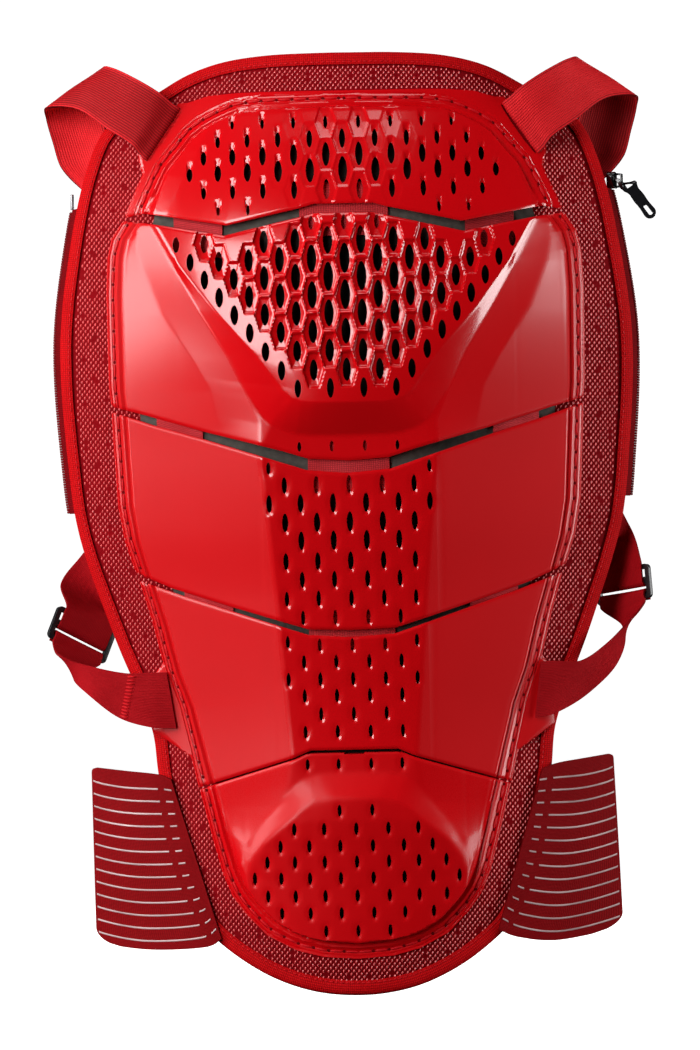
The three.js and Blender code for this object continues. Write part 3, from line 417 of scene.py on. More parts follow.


# A finish: grain in colour and gloss, and where threads are given a weave on the piece's own map, with
# painted shade between the threads
def newFinish(name, dark, light, rough, fine=900.0, blotch=30.0, bump=0.1, threads=None, weaveDepth=0.5,
              cloth="weave", satin=None, paintedShade=None, **plain):
    material = bpy.data.materials.new(name)
    material.use_nodes = True
    tree = material.node_tree
    shader = tree.nodes["Principled BSDF"]
    place = addNode(tree, "ShaderNodeTexCoord")
    grain = addNode(tree, "ShaderNodeGroup", node_tree=groups["grain"])
    feed(tree, grain, Vector=place.outputs["Object"], Dark=(*dark, 1), Light=(*light, 1), Blotch_Scale=blotch,
         Fine_Scale=fine, Rough_Low=rough[0], Rough_High=rough[1])
    relief = addNode(tree, "ShaderNodeBump")
    feed(tree, relief, Strength=bump, Distance=reliefHigh["grain"], Height=grain.outputs["Height"])
    color, rough = grain.outputs["Color"], grain.outputs["Roughness"]
    if threads:
        mapping = addNode(tree, "ShaderNodeMapping")
        feed(tree, mapping, Vector=place.outputs["UV"], Scale=(*threads, 1))
        weave = addNode(tree, "ShaderNodeGroup", node_tree=groups[cloth])
        feed(tree, weave, Threads=mapping.outputs[0])
        # The colour is darkened between the threads: painted shade
        color = timesColor(tree, color, weave.outputs["Shade"])
        ground = relief.outputs[0]
        relief = addNode(tree, "ShaderNodeBump")
        feed(tree, relief, Strength=weaveDepth, Distance=reliefHigh["threads"],
             Height=weave.outputs["Height"], Normal=ground)
    # A point attribute given as paintedShade darkens the colour: painted shade
    if paintedShade:
        painted = addNode(tree, "ShaderNodeAttribute", attribute_name=paintedShade)
        color = timesColor(tree, color, painted.outputs["Color"])
    if satin:
        polish = addNode(tree, "ShaderNodeAttribute", attribute_name="polish").outputs["Fac"]
        dull = mathNode(tree, "MULTIPLY_ADD", polish, -satin["rough"], satin["rough"])
        rough = mathNode(tree, "ADD", rough, dull)
        feed(tree, shader, Coat_Weight=mathNode(tree, "MULTIPLY", polish, satin["coat"]))
    feed(tree, shader, Base_Color=color, Roughness=rough, Normal=relief.outputs[0], **plain)
    return material


matt = {"Specular_IOR_Level": 0.04}
finishes = {
    "tail": newFinish("moulded red satin", (0.54, 0.001, 0.003), (0.6, 0.001, 0.004), (0.15, 0.2), fine=1600,
                      blotch=14, bump=0.03, satin={"rough": 0.2, "coat": 0.1}, Specular_IOR_Level=0.2),
    "shell": newFinish("moulded red gloss", (0.54, 0.001, 0.003), (0.6, 0.001, 0.004), (0.15, 0.2), fine=1600,
                       blotch=14, bump=0.03, satin={"rough": 0.12, "coat": 0.4}, Coat_Roughness=0.06),
    "mesh": newFinish("spacer mesh ground", (0.15, 0.001, 0.003), (0.22, 0.001, 0.004), (0.7, 0.9),
                      fine=700, blotch=60, bump=0.4, **matt),
    "knit": newFinish("spacer mesh threads", (0.66, 0.04, 0.045), (0.88, 0.13, 0.13), (0.25, 0.38),
                      fine=500, blotch=220, bump=0.1, Specular_IOR_Level=0.9),
    "binding": newFinish("knitted binding", (0.58, 0.002, 0.004), (0.74, 0.005, 0.008), (0.5, 0.7),
                         fine=800, blotch=40, threads=(1300, 22), weaveDepth=0.6, **matt),
    "elastic": newFinish("ribbed elastic", (0.6, 0.012, 0.016), (0.74, 0.022, 0.028), (0.4, 0.6),
                         fine=900, blotch=50, threads=(24, 150), cloth="ribs", **matt),
    "webbing": newFinish("waist webbing", (0.42, 0.004, 0.008), (0.55, 0.008, 0.014), (0.5, 0.7),
                         fine=900, blotch=50, threads=(34, 190), weaveDepth=0.5, **matt),
    "belt": newFinish("belt elastic", (0.26, 0.002, 0.004), (0.32, 0.003, 0.006), (0.5, 0.7),
                      fine=900, blotch=30, threads=(80, 130), weaveDepth=0.4, **matt),
    "grip": newFinish("grip stripes", (0.3, 0.19, 0.19), (0.7, 0.52, 0.52), (0.25, 0.4),
                      fine=600, blotch=45, bump=0.1),
    "foam": newFinish("grey foam", (0.05, 0.045, 0.04), (0.09, 0.08, 0.07), (0.85, 0.95),
                      # Foam colour is darkened by its lit attribute: painted shade under the shells
                      fine=1500, blotch=300, bump=0.8, paintedShade="lit", **matt),
    "link": newFinish("woven link", (0.5, 0.02, 0.026), (0.68, 0.05, 0.06), (0.5, 0.7),
                      fine=800, blotch=60, threads=(36, 30), weaveDepth=0.7, **matt),
    "buckle": newFinish("black buckle", (0.006, 0.006, 0.007), (0.012, 0.012, 0.014), (0.28, 0.42),
                        fine=1800, blotch=90, bump=0.15),
    "tape": newFinish("zip tape", (0.17, 0.002, 0.004), (0.25, 0.003, 0.006), (0.65, 0.85),
                      fine=900, blotch=60, threads=(9, 150), weaveDepth=0.6, **matt),
    "teeth": newFinish("zip teeth", (0.13, 0.002, 0.004), (0.2, 0.003, 0.006), (0.4, 0.55),
                       fine=900, blotch=200, bump=0.1, Specular_IOR_Level=0.2),
    "metal": newFinish("black lacquered zip", (0.004, 0.004, 0.005), (0.01, 0.01, 0.012), (0.14, 0.28),
                       fine=1500, blotch=200, bump=0.08, Coat_Weight=0.4),
    "pin": newFinish("grey zip pin", (0.24, 0.24, 0.25), (0.34, 0.34, 0.35), (0.3, 0.45),
                     fine=1200, blotch=150, bump=0.1, Metallic=0.7),
    # Dark red for the needle holes between stitches: painted shade
    "holeShade": newFinish("painted needle hole shade", (0.1, 0.001, 0.002), (0.16, 0.001, 0.003), (0.6, 0.8),
                      bump=0.1, **matt),
    "thread": newFinish("red sewing thread", (0.5, 0.003, 0.007), (0.64, 0.008, 0.014), (0.35, 0.5),
                        fine=2500, blotch=400, bump=0.3, Specular_IOR_Level=0.15),
}
print("finishes made")


# Camera and light
view = {"far": 2.4, "frameTall": 0.609, "roll": -1.19, "sensor": 36}


def addCamera():
    bpy.ops.object.camera_add(location=(0, -view["far"], 0))
    camera = bpy.context.object
    camera.data.sensor_width = view["sensor"]
    camera.data.lens = view["sensor"] * view["far"] / view["frameTall"]
    turn = Matrix.Rotation(math.radians(90), 4, "X") @ Matrix.Rotation(math.radians(view["roll"]), 4, "Z")
    camera.rotation_euler = turn.to_euler()
    bpy.context.scene.camera = camera


lamps = [
    {"name": "key softbox", "left": 34, "up": 17, "far": 2.2, "size": (0.84, 1.6), "power": 42},
    {"name": "left bank", "left": 78, "up": 15, "far": 1.8, "size": (0.76, 1.4), "power": 31},
    {"name": "right bank", "left": -90, "up": -3, "far": 1.8, "size": (0.8, 1.3), "power": 31},
    {"name": "back fill", "left": 180, "up": 20, "far": 2.6, "size": (1.6, 1.6), "power": 26},
    {"name": "top softbox", "left": 20, "up": 80, "far": 1.9, "size": (1.3, 0.7), "power": 8},
]


def addLamps():
    for lamp in lamps:
        left, up = math.radians(lamp["left"]), math.radians(lamp["up"])
        level = math.cos(up)
        at = Vector((-math.sin(left) * level, -math.cos(left) * level, math.sin(up))) * lamp["far"]
        bpy.ops.object.light_add(type="AREA", location=at)
        light = bpy.context.object
        light.name = lamp["name"]
        light.data.shape = "RECTANGLE"
        light.data.size, light.data.size_y = lamp["size"]
        light.data.energy = lamp["power"]
        light.rotation_euler = (-at).to_track_quat("-Z", "Y").to_euler()
    world = bpy.data.worlds.new("studio")
    bpy.context.scene.world = world
    world.use_nodes = True
    tree = world.node_tree
    feed(tree, tree.nodes["Background"], Color=(1, 1, 1, 1), Strength=studio["ambient"])


studio = {
    "floor": -460, "wall": 6500, "round": 500, "near": -120, "high": 2200, "half": 2600,
    "glow": 1.0, "ambient": 0.012,
}


def addStudio():
    depth = studio["wall"] - studio["round"] - studio["near"]
    arc = studio["round"] * math.pi / 2
    rise = studio["high"]

    def place(u, v):
        run = v * (depth + arc + rise)
        turn = np.clip((run - depth) / studio["round"], 0, math.pi / 2)
        climb = np.maximum(run - depth - arc, 0)
        y = studio["near"] + np.minimum(run, depth) + studio["round"] * np.sin(turn)
        z = studio["floor"] + studio["round"] * (1 - np.cos(turn)) + climb
        return stack((2 * u - 1) * studio["half"], y, z)

    paper = gridPiece("studio_paper", 4, 60, place)
    smoothBy(paper, 60)
    white = newFinish("white paper", (0.86, 0.86, 0.86), (0.9, 0.9, 0.9), (0.8, 0.9), fine=400, blotch=3,
                      bump=0.02, Emission_Color=(1, 1, 1, 1), Emission_Strength=studio["glow"])
    paper.data.materials.append(white)
    paper.visible_diffuse = False
    paper.visible_glossy = False
    bpy.context.scene.view_settings.view_transform = "Standard"


addCamera()
addLamps()
addStudio()
print("studio ready")


# Moulded shells: edges from the spine outwards, half-widths down the sides, sections from top to bottom
edges = {
    "collar": ([0, 60, 78, 90], [253.5, 254, 253, 249.5]),
    "slot1Above": ([0, 17, 26, 68, 117, 129], [185, 185, 182.5, 174, 184, 182]),
    "slot1Below": ([0, 17, 26, 69, 112, 129], [179.4, 179.4, 177.2, 168, 177, 180.5]),
    "slot2Above": ([0, 23, 40, 83, 118, 138], [37, 38.5, 43.7, 55.5, 66.3, 72]),
    "slot2Below": ([0, 24, 83, 112, 138], [30, 32, 51.2, 60, 69]),
    "slot3Above": ([0, 25, 69, 104, 126], [-60.6, -59.8, -46.3, -35, -25.5]),
    "slot3Below": ([0, 25, 68, 97, 124], [-64.6, -63, -49, -39.6, -30]),
    "slot4Above": ([0, 25.5, 35, 91], [-129.8, -129.9, -134, -151.6]),
    "slot4Below": ([0, 25.5, 35, 91], [-130.8, -130.9, -135, -152.6]),
    "tail": ([0, 20, 36, 52.5, 65, 73], [-251.8, -250.5, -246.5, -238, -225.5, -214.7]),
}

# What a shell has where its own table leaves it out
plainShell = {
    "rows": ([0, 1], [0, 1]), "flat": ([0, 1], [0.75, 0.75]), "planar": 0.9, "polish": (1, 0), "squash": 0.07,
    "soft": 0.7, "fade": 0.0, "finish": "shell",
}
plainSection = (None, None, None, None, None, 4.6, 0)

# sections: t, ridge, ridgeRise, foot, footRise, crown, ear
# holes: height, columns, length and width of the hole on the spine
shells = [
    {
        "name": "shell_shoulder", "top": "collar", "bottom": "slot1Above",
        "columns": (150, 8, 36), "field": 98, "along": 114,
        "sides": ([0, 0.46, 0.64, 1], [90, 109.5, 118.5, 129]),
        "sections": [
            (0, 50, 7, 66, 6, 4.6, 6),
            (0.13, 52, 7, 70, 6, 4.6, 8),
            (0.18, 54, 7, 74, 6.2, 4.6, 9),
            (0.42, 58, 9.5, 84, 8, 5, 12),
            (0.5, 60, 10, 86, 8.3, 5, 8),
            (0.64, 62, 11, 92, 8.6, 5, -1.2),
            (1, 68, 13, 104, 9, 5.2, -0.6),
        ],
        "seam": ([120, 117.7, 106.7, 96, 90.6, 83.4, 75.6, 67.5, 61, 46.6, 0],
                 [181, 188.5, 212, 225, 231.7, 237.3, 241.5, 245, 247.2, 248.6, 249]),
        "flat": ([0, 1], [0, 0]), "planar": 0, "polish": (1, 0.8),
        "cell": {"deep": 1.4, "columns": [1, 3, 5], "shares": [0.6, 0.15, 0], "margin": (-9, -8), "low": 0},
        "ramp": {"deep": 1.7, "above": 4.4, "half": 1.75, "columns": [0, 4], "shares": [0.5, 1]},
        "holes": [
            (234, (1, 3, 5, 7), 8.4, 2.5), (224, (0, 2, 4, 6, 8), 12, 3.6),
            (214.5, (1, 3, 5, 7, 9), 15.5, 4.6), (205, (0, 2, 4, 6, 8, 10), 16.5, 5.2),
            (193.5, (1, 3, 5, 7, 9), 13, 3.8), (182.5, (6, 8), 9, 2.6),
        ],
        "fade": 0.05, "slot": {"from": (93.4, 245.4), "to": (113.6, 214.9), "wide": 2.6},
    },
    {
        "name": "shell_upper_back", "top": "slot1Below", "bottom": "slot2Above",
        "columns": (140, 18, 32), "field": 98, "along": 212,
        "rows": ([0, 0.85, 1], [0, 0.775, 1]),
        "sides": ([0, 0.1, 0.2, 0.4, 0.9, 1], [129, 136, 138.5, 139.5, 139, 138]),
        "sections": [
            (0, 110, 12.6, 112, 10.4),
            (0.2, 95.5, 15.8, 99, 12.2),
            (0.4, 75.5, 17.4, 84.5, 12.8),
            (0.6, 52, 19, 68, 13),
            (0.72, 41, 20, 61, 13),
            (0.77, 36, 20.2, 57.5, 12.8),
            (0.9, 44, 20.2, 50.5, 11.8),
            (1, 49.5, 20.2, 51, 12.6),
        ],
        "flat": ([0, 0.72, 0.8, 0.9, 1], [0, 0, 0.4, 0.75, 0.75]),
        "bulge": 3,
        "ring": {
            "above": True,
            "plateau": ([110, 95.5, 75.5, 52, 41.5, 36.5, 32, 26, 20, 0],
                        [177, 151.5, 125, 98, 84, 77, 73, 70.9, 70.3, 70.2]),
            "foot": ([112, 99, 84.5, 68, 61, 57.5, 53.5, 49.5, 45, 38, 30, 22, 0],
                     [177, 151.5, 125, 98, 83, 76.6, 70, 64, 59, 55, 52.6, 51.8, 51.7]),
        },
        "crease": ([165, 151, 123.6, 96, 78.8, 57], [121, 117.5, 106, 88, 78.5, 74],
                   [7.4, 8.6, 10.6, 11.4, 11.5, 11]),
        "cell": {"deep": 3.2, "columns": [5, 7, 9, 11], "shares": [1, 1, 0.9, 0.8], "margin": (12.5, 17),
                 "low": 67},
        "holes": [
            (174, (0, 2), 9, 3.2), (163.6, (1, 3, 5, 9, 11), 17, 5.6),
            (153, (0, 2, 4, 6, 8, 10), 18, 5.8), (142.5, (1, 3, 5, 7, 9), 18, 5.8),
            (132, (0, 2, 4, 6, 8), 17.5, 5.8), (121.5, (1, 3, 5, 7), 16.5, 5.6),
            (111, (0, 2, 4, 6), 15, 5.3), (100, (1, 3, 5), 14, 5.1), (89, (0, 2, 4), 13.5, 4.8),
            (78.5, (1, 3), 12, 4.2), (45.5, (1, 3), 6.5, 2.4),
        ],
        "fade": 0.042,
    },
    {
        "name": "shell_mid_back", "top": "slot2Below", "bottom": "slot3Above",
        "columns": (75, 26, 36), "field": 51, "along": 130,
        "sides": ([0, 0.25, 0.58, 0.8, 1], [138, 137, 135.5, 132, 126]),
        "sections": [
            (0, 49.5, 12.5, 51, 12.3),
            (0.25, 47.5, 12.7, 49, 12.5),
            (0.5, 45, 12.9, 46.5, 12.7),
            (0.75, 43, 13.1, 44.5, 12.9),
            (1, 41, 13.3, 42.5, 13.1),
        ],
        "dimple": {"deep": 0.55, "wide": 5.4, "tall": 8.5}, "tip": {"deep": 0.9, "below": 2.2, "half": 1.6},
        "holes": [
            (33.4, (5,), 8, 2.6), (23.5, (0, 2, 4), 10.5, 3.2), (13, (1, 3, 5), 11.5, 3.6),
            (2, (0, 2, 4), 11.8, 3.8), (-8.5, (1, 3), 11.5, 3.6), (-20.4, (0, 2, 4), 10.8, 3.3),
            (-31, (1, 3), 10, 3), (-42, (0, 2, 4), 9.4, 2.7), (-53, (1, 3), 9, 2.5),
        ],
        "fade": 0.02,
    },
    {
        "name": "shell_lower_back", "top": "slot3Below", "bottom": "slot4Above",
        "columns": (70, 20, 36), "field": 45, "along": 120,
        "sides": ([0, 0.18, 0.41, 0.58, 0.8, 1], [124, 117, 110, 102.5, 96.5, 91.5]),
        "sections": [
            (0, 41, 13.3, 42.5, 13.1),
            (0.2, 39.7, 13.4, 41.2, 13.2),
            (0.38, 38.5, 13.5, 40, 13.3),
            (0.45, 38.1, 13.5, 39.6, 13.3, 4.6, 9),
            (0.72, 36.5, 13.7, 38, 13.5, 4.6, 19),
            (0.84, 35.7, 13.8, 37.2, 13.6),
            (1, 34.8, 13.9, 36.3, 13.7),
        ],
        "dimple": {"deep": 0.45, "wide": 5, "tall": 7.5}, "tip": {"deep": 0.8, "below": 2, "half": 1.4},
        "holes": [
            (-69, (0, 2), 7.5, 2.4), (-67, (4,), 7.5, 2.4), (-78.6, (1, 3), 8, 2.5),
            (-88.7, (0, 2, 4), 8, 2.5),
            (-98.3, (1, 3), 8, 2.5), (-108.8, (0, 2), 7.8, 2.4), (-119.2, (1, 3), 7.5, 2.4),
        ],
    },
    {
        "name": "shell_tail", "top": "slot4Below", "bottom": "tail",
        "columns": (84, 10, 36), "field": 64, "along": 150,
        "sides": ([0, 0.45, 0.81, 1], [91, 84.3, 78.2, 73]),
        "sections": [
            (0, 34.8, 14, 36.3, 13.8),
            (0.12, 31, 17.6, 38, 12.9),
            (0.226, 18.5, 18.2, 44, 12.3),
            (0.335, 39, 16.8, 54, 11.4, 4.8, 0),
            (0.474, 56, 13.8, 63, 10.2, 5, 0),
            (0.66, 63, 10.8, 67, 9.2, 5, 0),
            (0.8, 60, 9.4, 64, 8.4, 5, 0),
            (0.89, 55, 8.3, 60, 7.8, 5, 0),
            (1, 50, 7, 56, 6),
        ],
        "flat": ([0, 0.12, 0.3, 1], [0.75, 0.7, 0.2, 0.1]), "planar": 0.5, "polish": (0.2, 0.5),
        "squash": 0.16, "soft": 1.6, "bulge": 0.8, "finish": "tail",
        "ring": {
            "above": False,
            "plateau": ([0, 14, 24, 32, 38, 54, 62, 64],
                        [-157.4, -157.6, -159.5, -165, -170.5, -183, -194, -206]),
            "foot": ([0, 20, 30, 36, 43, 54, 64, 67], [-143, -143.3, -146, -150, -159.5, -173, -188, -204]),
        },
        "dimple": {"deep": 0.45, "wide": 4.8, "tall": 7}, "tip": {"deep": 0.8, "below": 2, "half": 1.4},
        "holes": [
            (-138, (1, 3), 6.5, 2.3), (-164.5, (1,), 7, 2.4), (-175.2, (0, 2, 4), 7.5, 2.6),
            (-185.2, (1, 3, 5), 7.5, 2.6), (-194.5, (0, 2, 4, 6), 7.5, 2.6), (-204, (1, 3, 5, 7), 7.5, 2.6),
            (-214.4, (0, 2, 4, 6), 7.5, 2.6), (-224.4, (1, 3, 5), 7.2, 2.5), (-234.9, (0, 2), 7, 2.4),
        ],
    },
]

for shell in shells:
    shell["sections"] = [row + plainSection[len(row):] for row in shell["sections"]]
shells = [{**plainShell, **shell} for shell in shells]

# flange: distance in from the outer edge, and height there: rim, stitched groove, bead and valley
moulding = {
    "wall": 1.6, "sunk": 2.7, "lift": 0.4, "pitch": 9.6, "crownBulge": 0.8, "recessReach": (14, 22),
    "cellWide": 6.4, "cellTall": 10.5, "cellWalls": ((0.55, 0.15), (0.45, 0.6)), "cellsAbove": 60,
    "holeDeep": 7.0, "holeIn": 1.5, "slotDeep": 5.0, "slotIn": 1.0, "holePoint": (1.15, 1.05),
    "rampSoft": (0.75, 1.2), "rampSpan": (-0.1, 0.45), "rampNarrow": 0.3, "rampRun": 1, "fadeWide": 0.6,
    "tipSoft": (0.6, 1.2), "tipSpan": -0.4, "tipRun": 0.8,
    "flangeIn": [0, 0.8, 1.25, 1.7, 2.8, 3.1, 4.7, 5.0, 6.6, 8.9],
    "flangeUp": [1.7, 2.5, 2.0, 2.5, 2.6, 2.0, 2.0, 2.4, 3.6, 2.4],
    "plateUp": 2.6, "seamIn": 3.9, "stepFrom": 8.9, "stepTo": 9.7, "crownIn": 10.4, "rimWide": 11.5,
    "earColumns": 6, "lip": 0.4, "edgeRound": 2.0, "edgeDrop": 0.9, "polishFade": 2.5,
}
sectionColumns = ("t", "ridge", "ridgeRise", "foot", "footRise", "crown", "ear")


def shellRead(shell, column, t):
    return np.interp(t, [row[0] for row in shell["sections"]],
                     [row[sectionColumns.index(column)] for row in shell["sections"]])


def shellHalf(shell, t):
    return np.interp(t, *shell["sides"])


def shellSpan(shell, x):
    return np.interp(np.abs(x), *edges[shell["top"]]), np.interp(np.abs(x), *edges[shell["bottom"]])


def lineDistance(x, z, lineX, lineZ):
    best = np.full(len(x), 1e9)
    for k in range(len(lineX) - 1):
        dx, dz = lineX[k + 1] - lineX[k], lineZ[k + 1] - lineZ[k]
        share = np.clip(((x - lineX[k]) * dx + (z - lineZ[k]) * dz) / max(dx * dx + dz * dz, 1e-9), 0, 1)
        best = np.minimum(best, np.hypot(x - lineX[k] - share * dx, z - lineZ[k] - share * dz))
    return best


# Line of stitches on the right half of a shell, from the top down
def seamLine(shell):
    if "seam" in shell:
        return np.array(shell["seam"][0][::-1], float), np.array(shell["seam"][1][::-1], float)
    t = np.linspace(0, 1, 40)
    half = shellHalf(shell, t)
    top, bottom = shellSpan(shell, half)
    x, z = half, top + (bottom - top) * t
    if shell["bottom"] == "tail":
        across = np.linspace(half[-1], 0, 40)[1:]
        x, z = np.concatenate([x, across]), np.concatenate([z, shellSpan(shell, across)[1]])
    for _ in range(4):
        x[1:-1], z[1:-1] = (x[:-2] + 2 * x[1:-1] + x[2:]) / 4, (z[:-2] + 2 * z[1:-1] + z[2:]) / 4
    dx, dz = np.gradient(x), np.gradient(z)
    length = np.hypot(dx, dz)
    return x + moulding["seamIn"] * dz / length, z - moulding["seamIn"] * dx / length


# Distance in from the flange's outer edge, measured from the line of stitches
def rimDistance(shell, x, z, t):
    ax = np.abs(x)
    lineX, lineZ = seamLine(shell)
    order = np.argsort(lineZ)
    inside = (ax < np.interp(z, lineZ[order], lineX[order])) & (z < lineZ.max() + 20)
    if shell["top"] == "collar":
        inside &= z < lineZ.max()
    if shell["bottom"] == "tail":
        inside &= z > np.interp(ax, lineX[::-1], np.minimum.accumulate(lineZ)[::-1])
    away = lineDistance(ax, z, lineX, lineZ)
    if shell["top"] != "collar" and shell["bottom"] != "tail":
        away = np.abs(shellHalf(shell, t) - moulding["seamIn"] - ax)
        inside = ax < shellHalf(shell, t) - moulding["seamIn"]
    return np.where(inside, away, -away) + moulding["seamIn"]


# Height between two creases, straight in space where planar is 1
def facetRise(ax, fromX, fromRise, toX, toRise, planar):
    share = (ax - fromX) / np.maximum(toX - fromX, 0.5)
    bend = planar * torso["wrap"] * (ax - fromX) * (toX - ax)
    return fromRise + (toRise - fromRise) * share - bend


# Share of the way down the bevel that runs round a raised field
def ringShare(ring, ax, z, foot):
    def within(lineX, lineZ):
        beyond = z > min(lineZ) if ring["above"] else z < max(lineZ)
        return (ax < readLine(lineZ, lineX, z)) & beyond

    toPlateau = lineDistance(ax, z, *ring["plateau"])
    toFoot = np.minimum(lineDistance(ax, z, *ring["foot"]), np.maximum(foot - ax, 0))
    share = toPlateau / np.maximum(toPlateau + toFoot, 1e-6)
    return np.where(within(*ring["plateau"]), 0, np.where(within(*ring["foot"]), share, 1))


def shellRise(shell, x, z, t):
    ax = np.abs(x)
    ridge, foot = shellRead(shell, "ridge", t), shellRead(shell, "foot", t)
    flat = np.interp(t, *shell["flat"]) * torso["wrap"]
    ridgeRise = shellRead(shell, "ridgeRise", t) + flat * ridge ** 2
    footRise = shellRead(shell, "footRise", t) + flat * ridge ** 2
    crown = shellRead(shell, "crown", t)
    crownX = np.maximum(shellHalf(shell, t) - moulding["crownIn"], foot + 1)
    planar = shell["planar"]
    bulge = 1 - np.minimum(ax / ridge, 1) ** 2
    middle = ridgeRise - flat * ridge ** 2 + moulding["crownBulge"] * bulge + flat * ax ** 2
    rise = np.where(ax <= ridge, middle, facetRise(ax, ridge, ridgeRise, foot, footRise, planar))
    if "ring" in shell:
        column = footRise + flat * (np.minimum(ax, ridge) ** 2 - ridge ** 2)
        plateau = shellRead(shell, "ridgeRise", t) + flat * np.minimum(ax, ridge) ** 2
        plateau = plateau + shell["bulge"] * bulge
        rise = plateau + (column - plateau) * ringShare(shell["ring"], ax, z, foot)
    if "crease" in shell:
        creaseX = np.clip(readLine(shell["crease"][0], shell["crease"][1], z), foot + 0.5, crownX - 0.5)
        creaseRise = readLine(shell["crease"][0], shell["crease"][2], z)
        inner = facetRise(ax, foot, footRise, creaseX, creaseRise, planar)
        outer = facetRise(ax, creaseX, creaseRise, crownX, crown, planar)
        rise = np.where(ax > foot, np.where(ax > creaseX, outer, inner), rise)
    else:
        rise = np.where(ax > foot, facetRise(ax, foot, footRise, crownX, crown, planar), rise)
    return np.where(ax > crownX, crown, rise)


def holeCentres(shell):
    centres = []
    for height, columns, long, wide in shell["holes"]:
        for column in columns:
            x = moulding["pitch"] * column - shell["squash"] * column ** 2
            small = 1 - shell["fade"] * column
            for hand in ((1, -1) if column else (1,)):
                narrow = 1 - moulding["fadeWide"] + moulding["fadeWide"] * small
                centres.append((hand * x, height, long * small, wide * narrow, column))
    return centres


# Depth of the moulded recesses: ridged cells, ramps down into a hole, soft dimples and lower tips
def recessDepth(shell, x, z):
    depth = np.zeros_like(x)
    nearest = np.full_like(x, 9.0)
    cellShare = np.zeros_like(x)
    for cx, cz, long, wide, column in holeCentres(shell):
        near = (np.abs(x - cx) < moulding["recessReach"][0]) & (np.abs(z - cz) < moulding["recessReach"][1])
        dx, dz = np.abs(x[near] - cx), z[near] - cz
        if "cell" in shell and cz > moulding["cellsAbove"]:
            cell = shell["cell"]
            q = np.maximum(np.abs(dz) / moulding["cellTall"],
                           dx / moulding["cellWide"] + np.abs(dz) / (2 * moulding["cellTall"]))
            top, bottom = shellSpan(shell, cx)
            ridge = shellRead(shell, "ridge", (top - cz) / (top - bottom))
            inField = smoothStep(*cell["margin"], min(ridge - abs(cx), cz - cell["low"]))
            share = np.interp(column, cell["columns"], cell["shares"]) * inField
            closer = q < nearest[near]
            cellShare[near] = np.where(closer, share, cellShare[near])
            nearest[near] = np.minimum(nearest[near], q)
        if "ramp" in shell:
            ramp = shell["ramp"]
            down = np.clip((long / 2 + ramp["above"] - dz) / (ramp["above"] + moulding["rampRun"]), 0, 1)
            half = ramp["half"] * (1 - moulding["rampNarrow"] * down)
            first, last = moulding["rampSpan"]
            cut = down * (1 - smoothStep(*moulding["rampSoft"], dx / half))
            cut = cut * smoothStep(long * first, long * last, dz)
            share = np.interp(column, ramp["columns"], ramp["shares"])
            depth[near] = np.maximum(depth[near], ramp["deep"] * share * cut)
        if "dimple" in shell:
            dimple = shell["dimple"]
            q = np.minimum(np.hypot(dx / dimple["wide"], dz / dimple["tall"]), 1)
            depth[near] = np.maximum(depth[near], dimple["deep"] * (0.5 + 0.5 * np.cos(math.pi * q)))
        if "tip" in shell:
            tip = shell["tip"]
            up = np.clip((dz + long / 2 + tip["below"]) / (tip["below"] + moulding["tipRun"]), 0, 1)
            cut = up * (1 - smoothStep(*moulding["tipSoft"], dx / tip["half"]))
            cut = cut * smoothStep(0, long * moulding["tipSpan"], dz)
            depth[near] = np.maximum(depth[near], tip["deep"] * cut)
    if "cell" in shell:
        cut = sum(share * np.clip((1 - nearest) / run, 0, 1) for share, run in moulding["cellWalls"])
        depth = np.maximum(depth, shell["cell"]["deep"] * cellShare * cut)
    return depth


def blurRows(values, sigma):
    reach = int(math.ceil(3 * sigma))
    kernel = np.exp(-0.5 * (np.arange(-reach, reach + 1) / sigma) ** 2)
    kernel /= kernel.sum()
    padded = np.pad(values, ((reach, reach), (0, 0)), mode="edge")
    return sum(k * padded[i:i + len(values)] for i, k in enumerate(kernel))


# Columns stand close together in the field of holes and on the flange, wider apart on the facet between
def shellAcross(shell, u, t):
    reach = shellHalf(shell, t) + shellRead(shell, "ear", t)
    field, facet, rim = shell["columns"]
    share = np.abs(2 * u - 1)
    count = field + facet + rim
    first, second, third = field / count, (field + facet) / count, 1 - moulding["earColumns"] / count
    lip = np.minimum(shellHalf(shell, t), reach) - moulding["lip"]
    knee = lip - moulding["rimWide"]
    fieldX = np.minimum(shell["field"], knee - 3)
    onFacet = fieldX + (knee - fieldX) * (share - first) / (second - first)
    onRim = knee + moulding["rimWide"] * (share - second) / (third - second)
    onEar = lip + (reach - lip) * (share - third) / (1 - third)
    x = np.where(share < second, onFacet, np.where(share < third, onRim, onEar))
    x = np.where(share < first, fieldX * share / first, x)
    return np.sign(u - 0.5) * x, reach


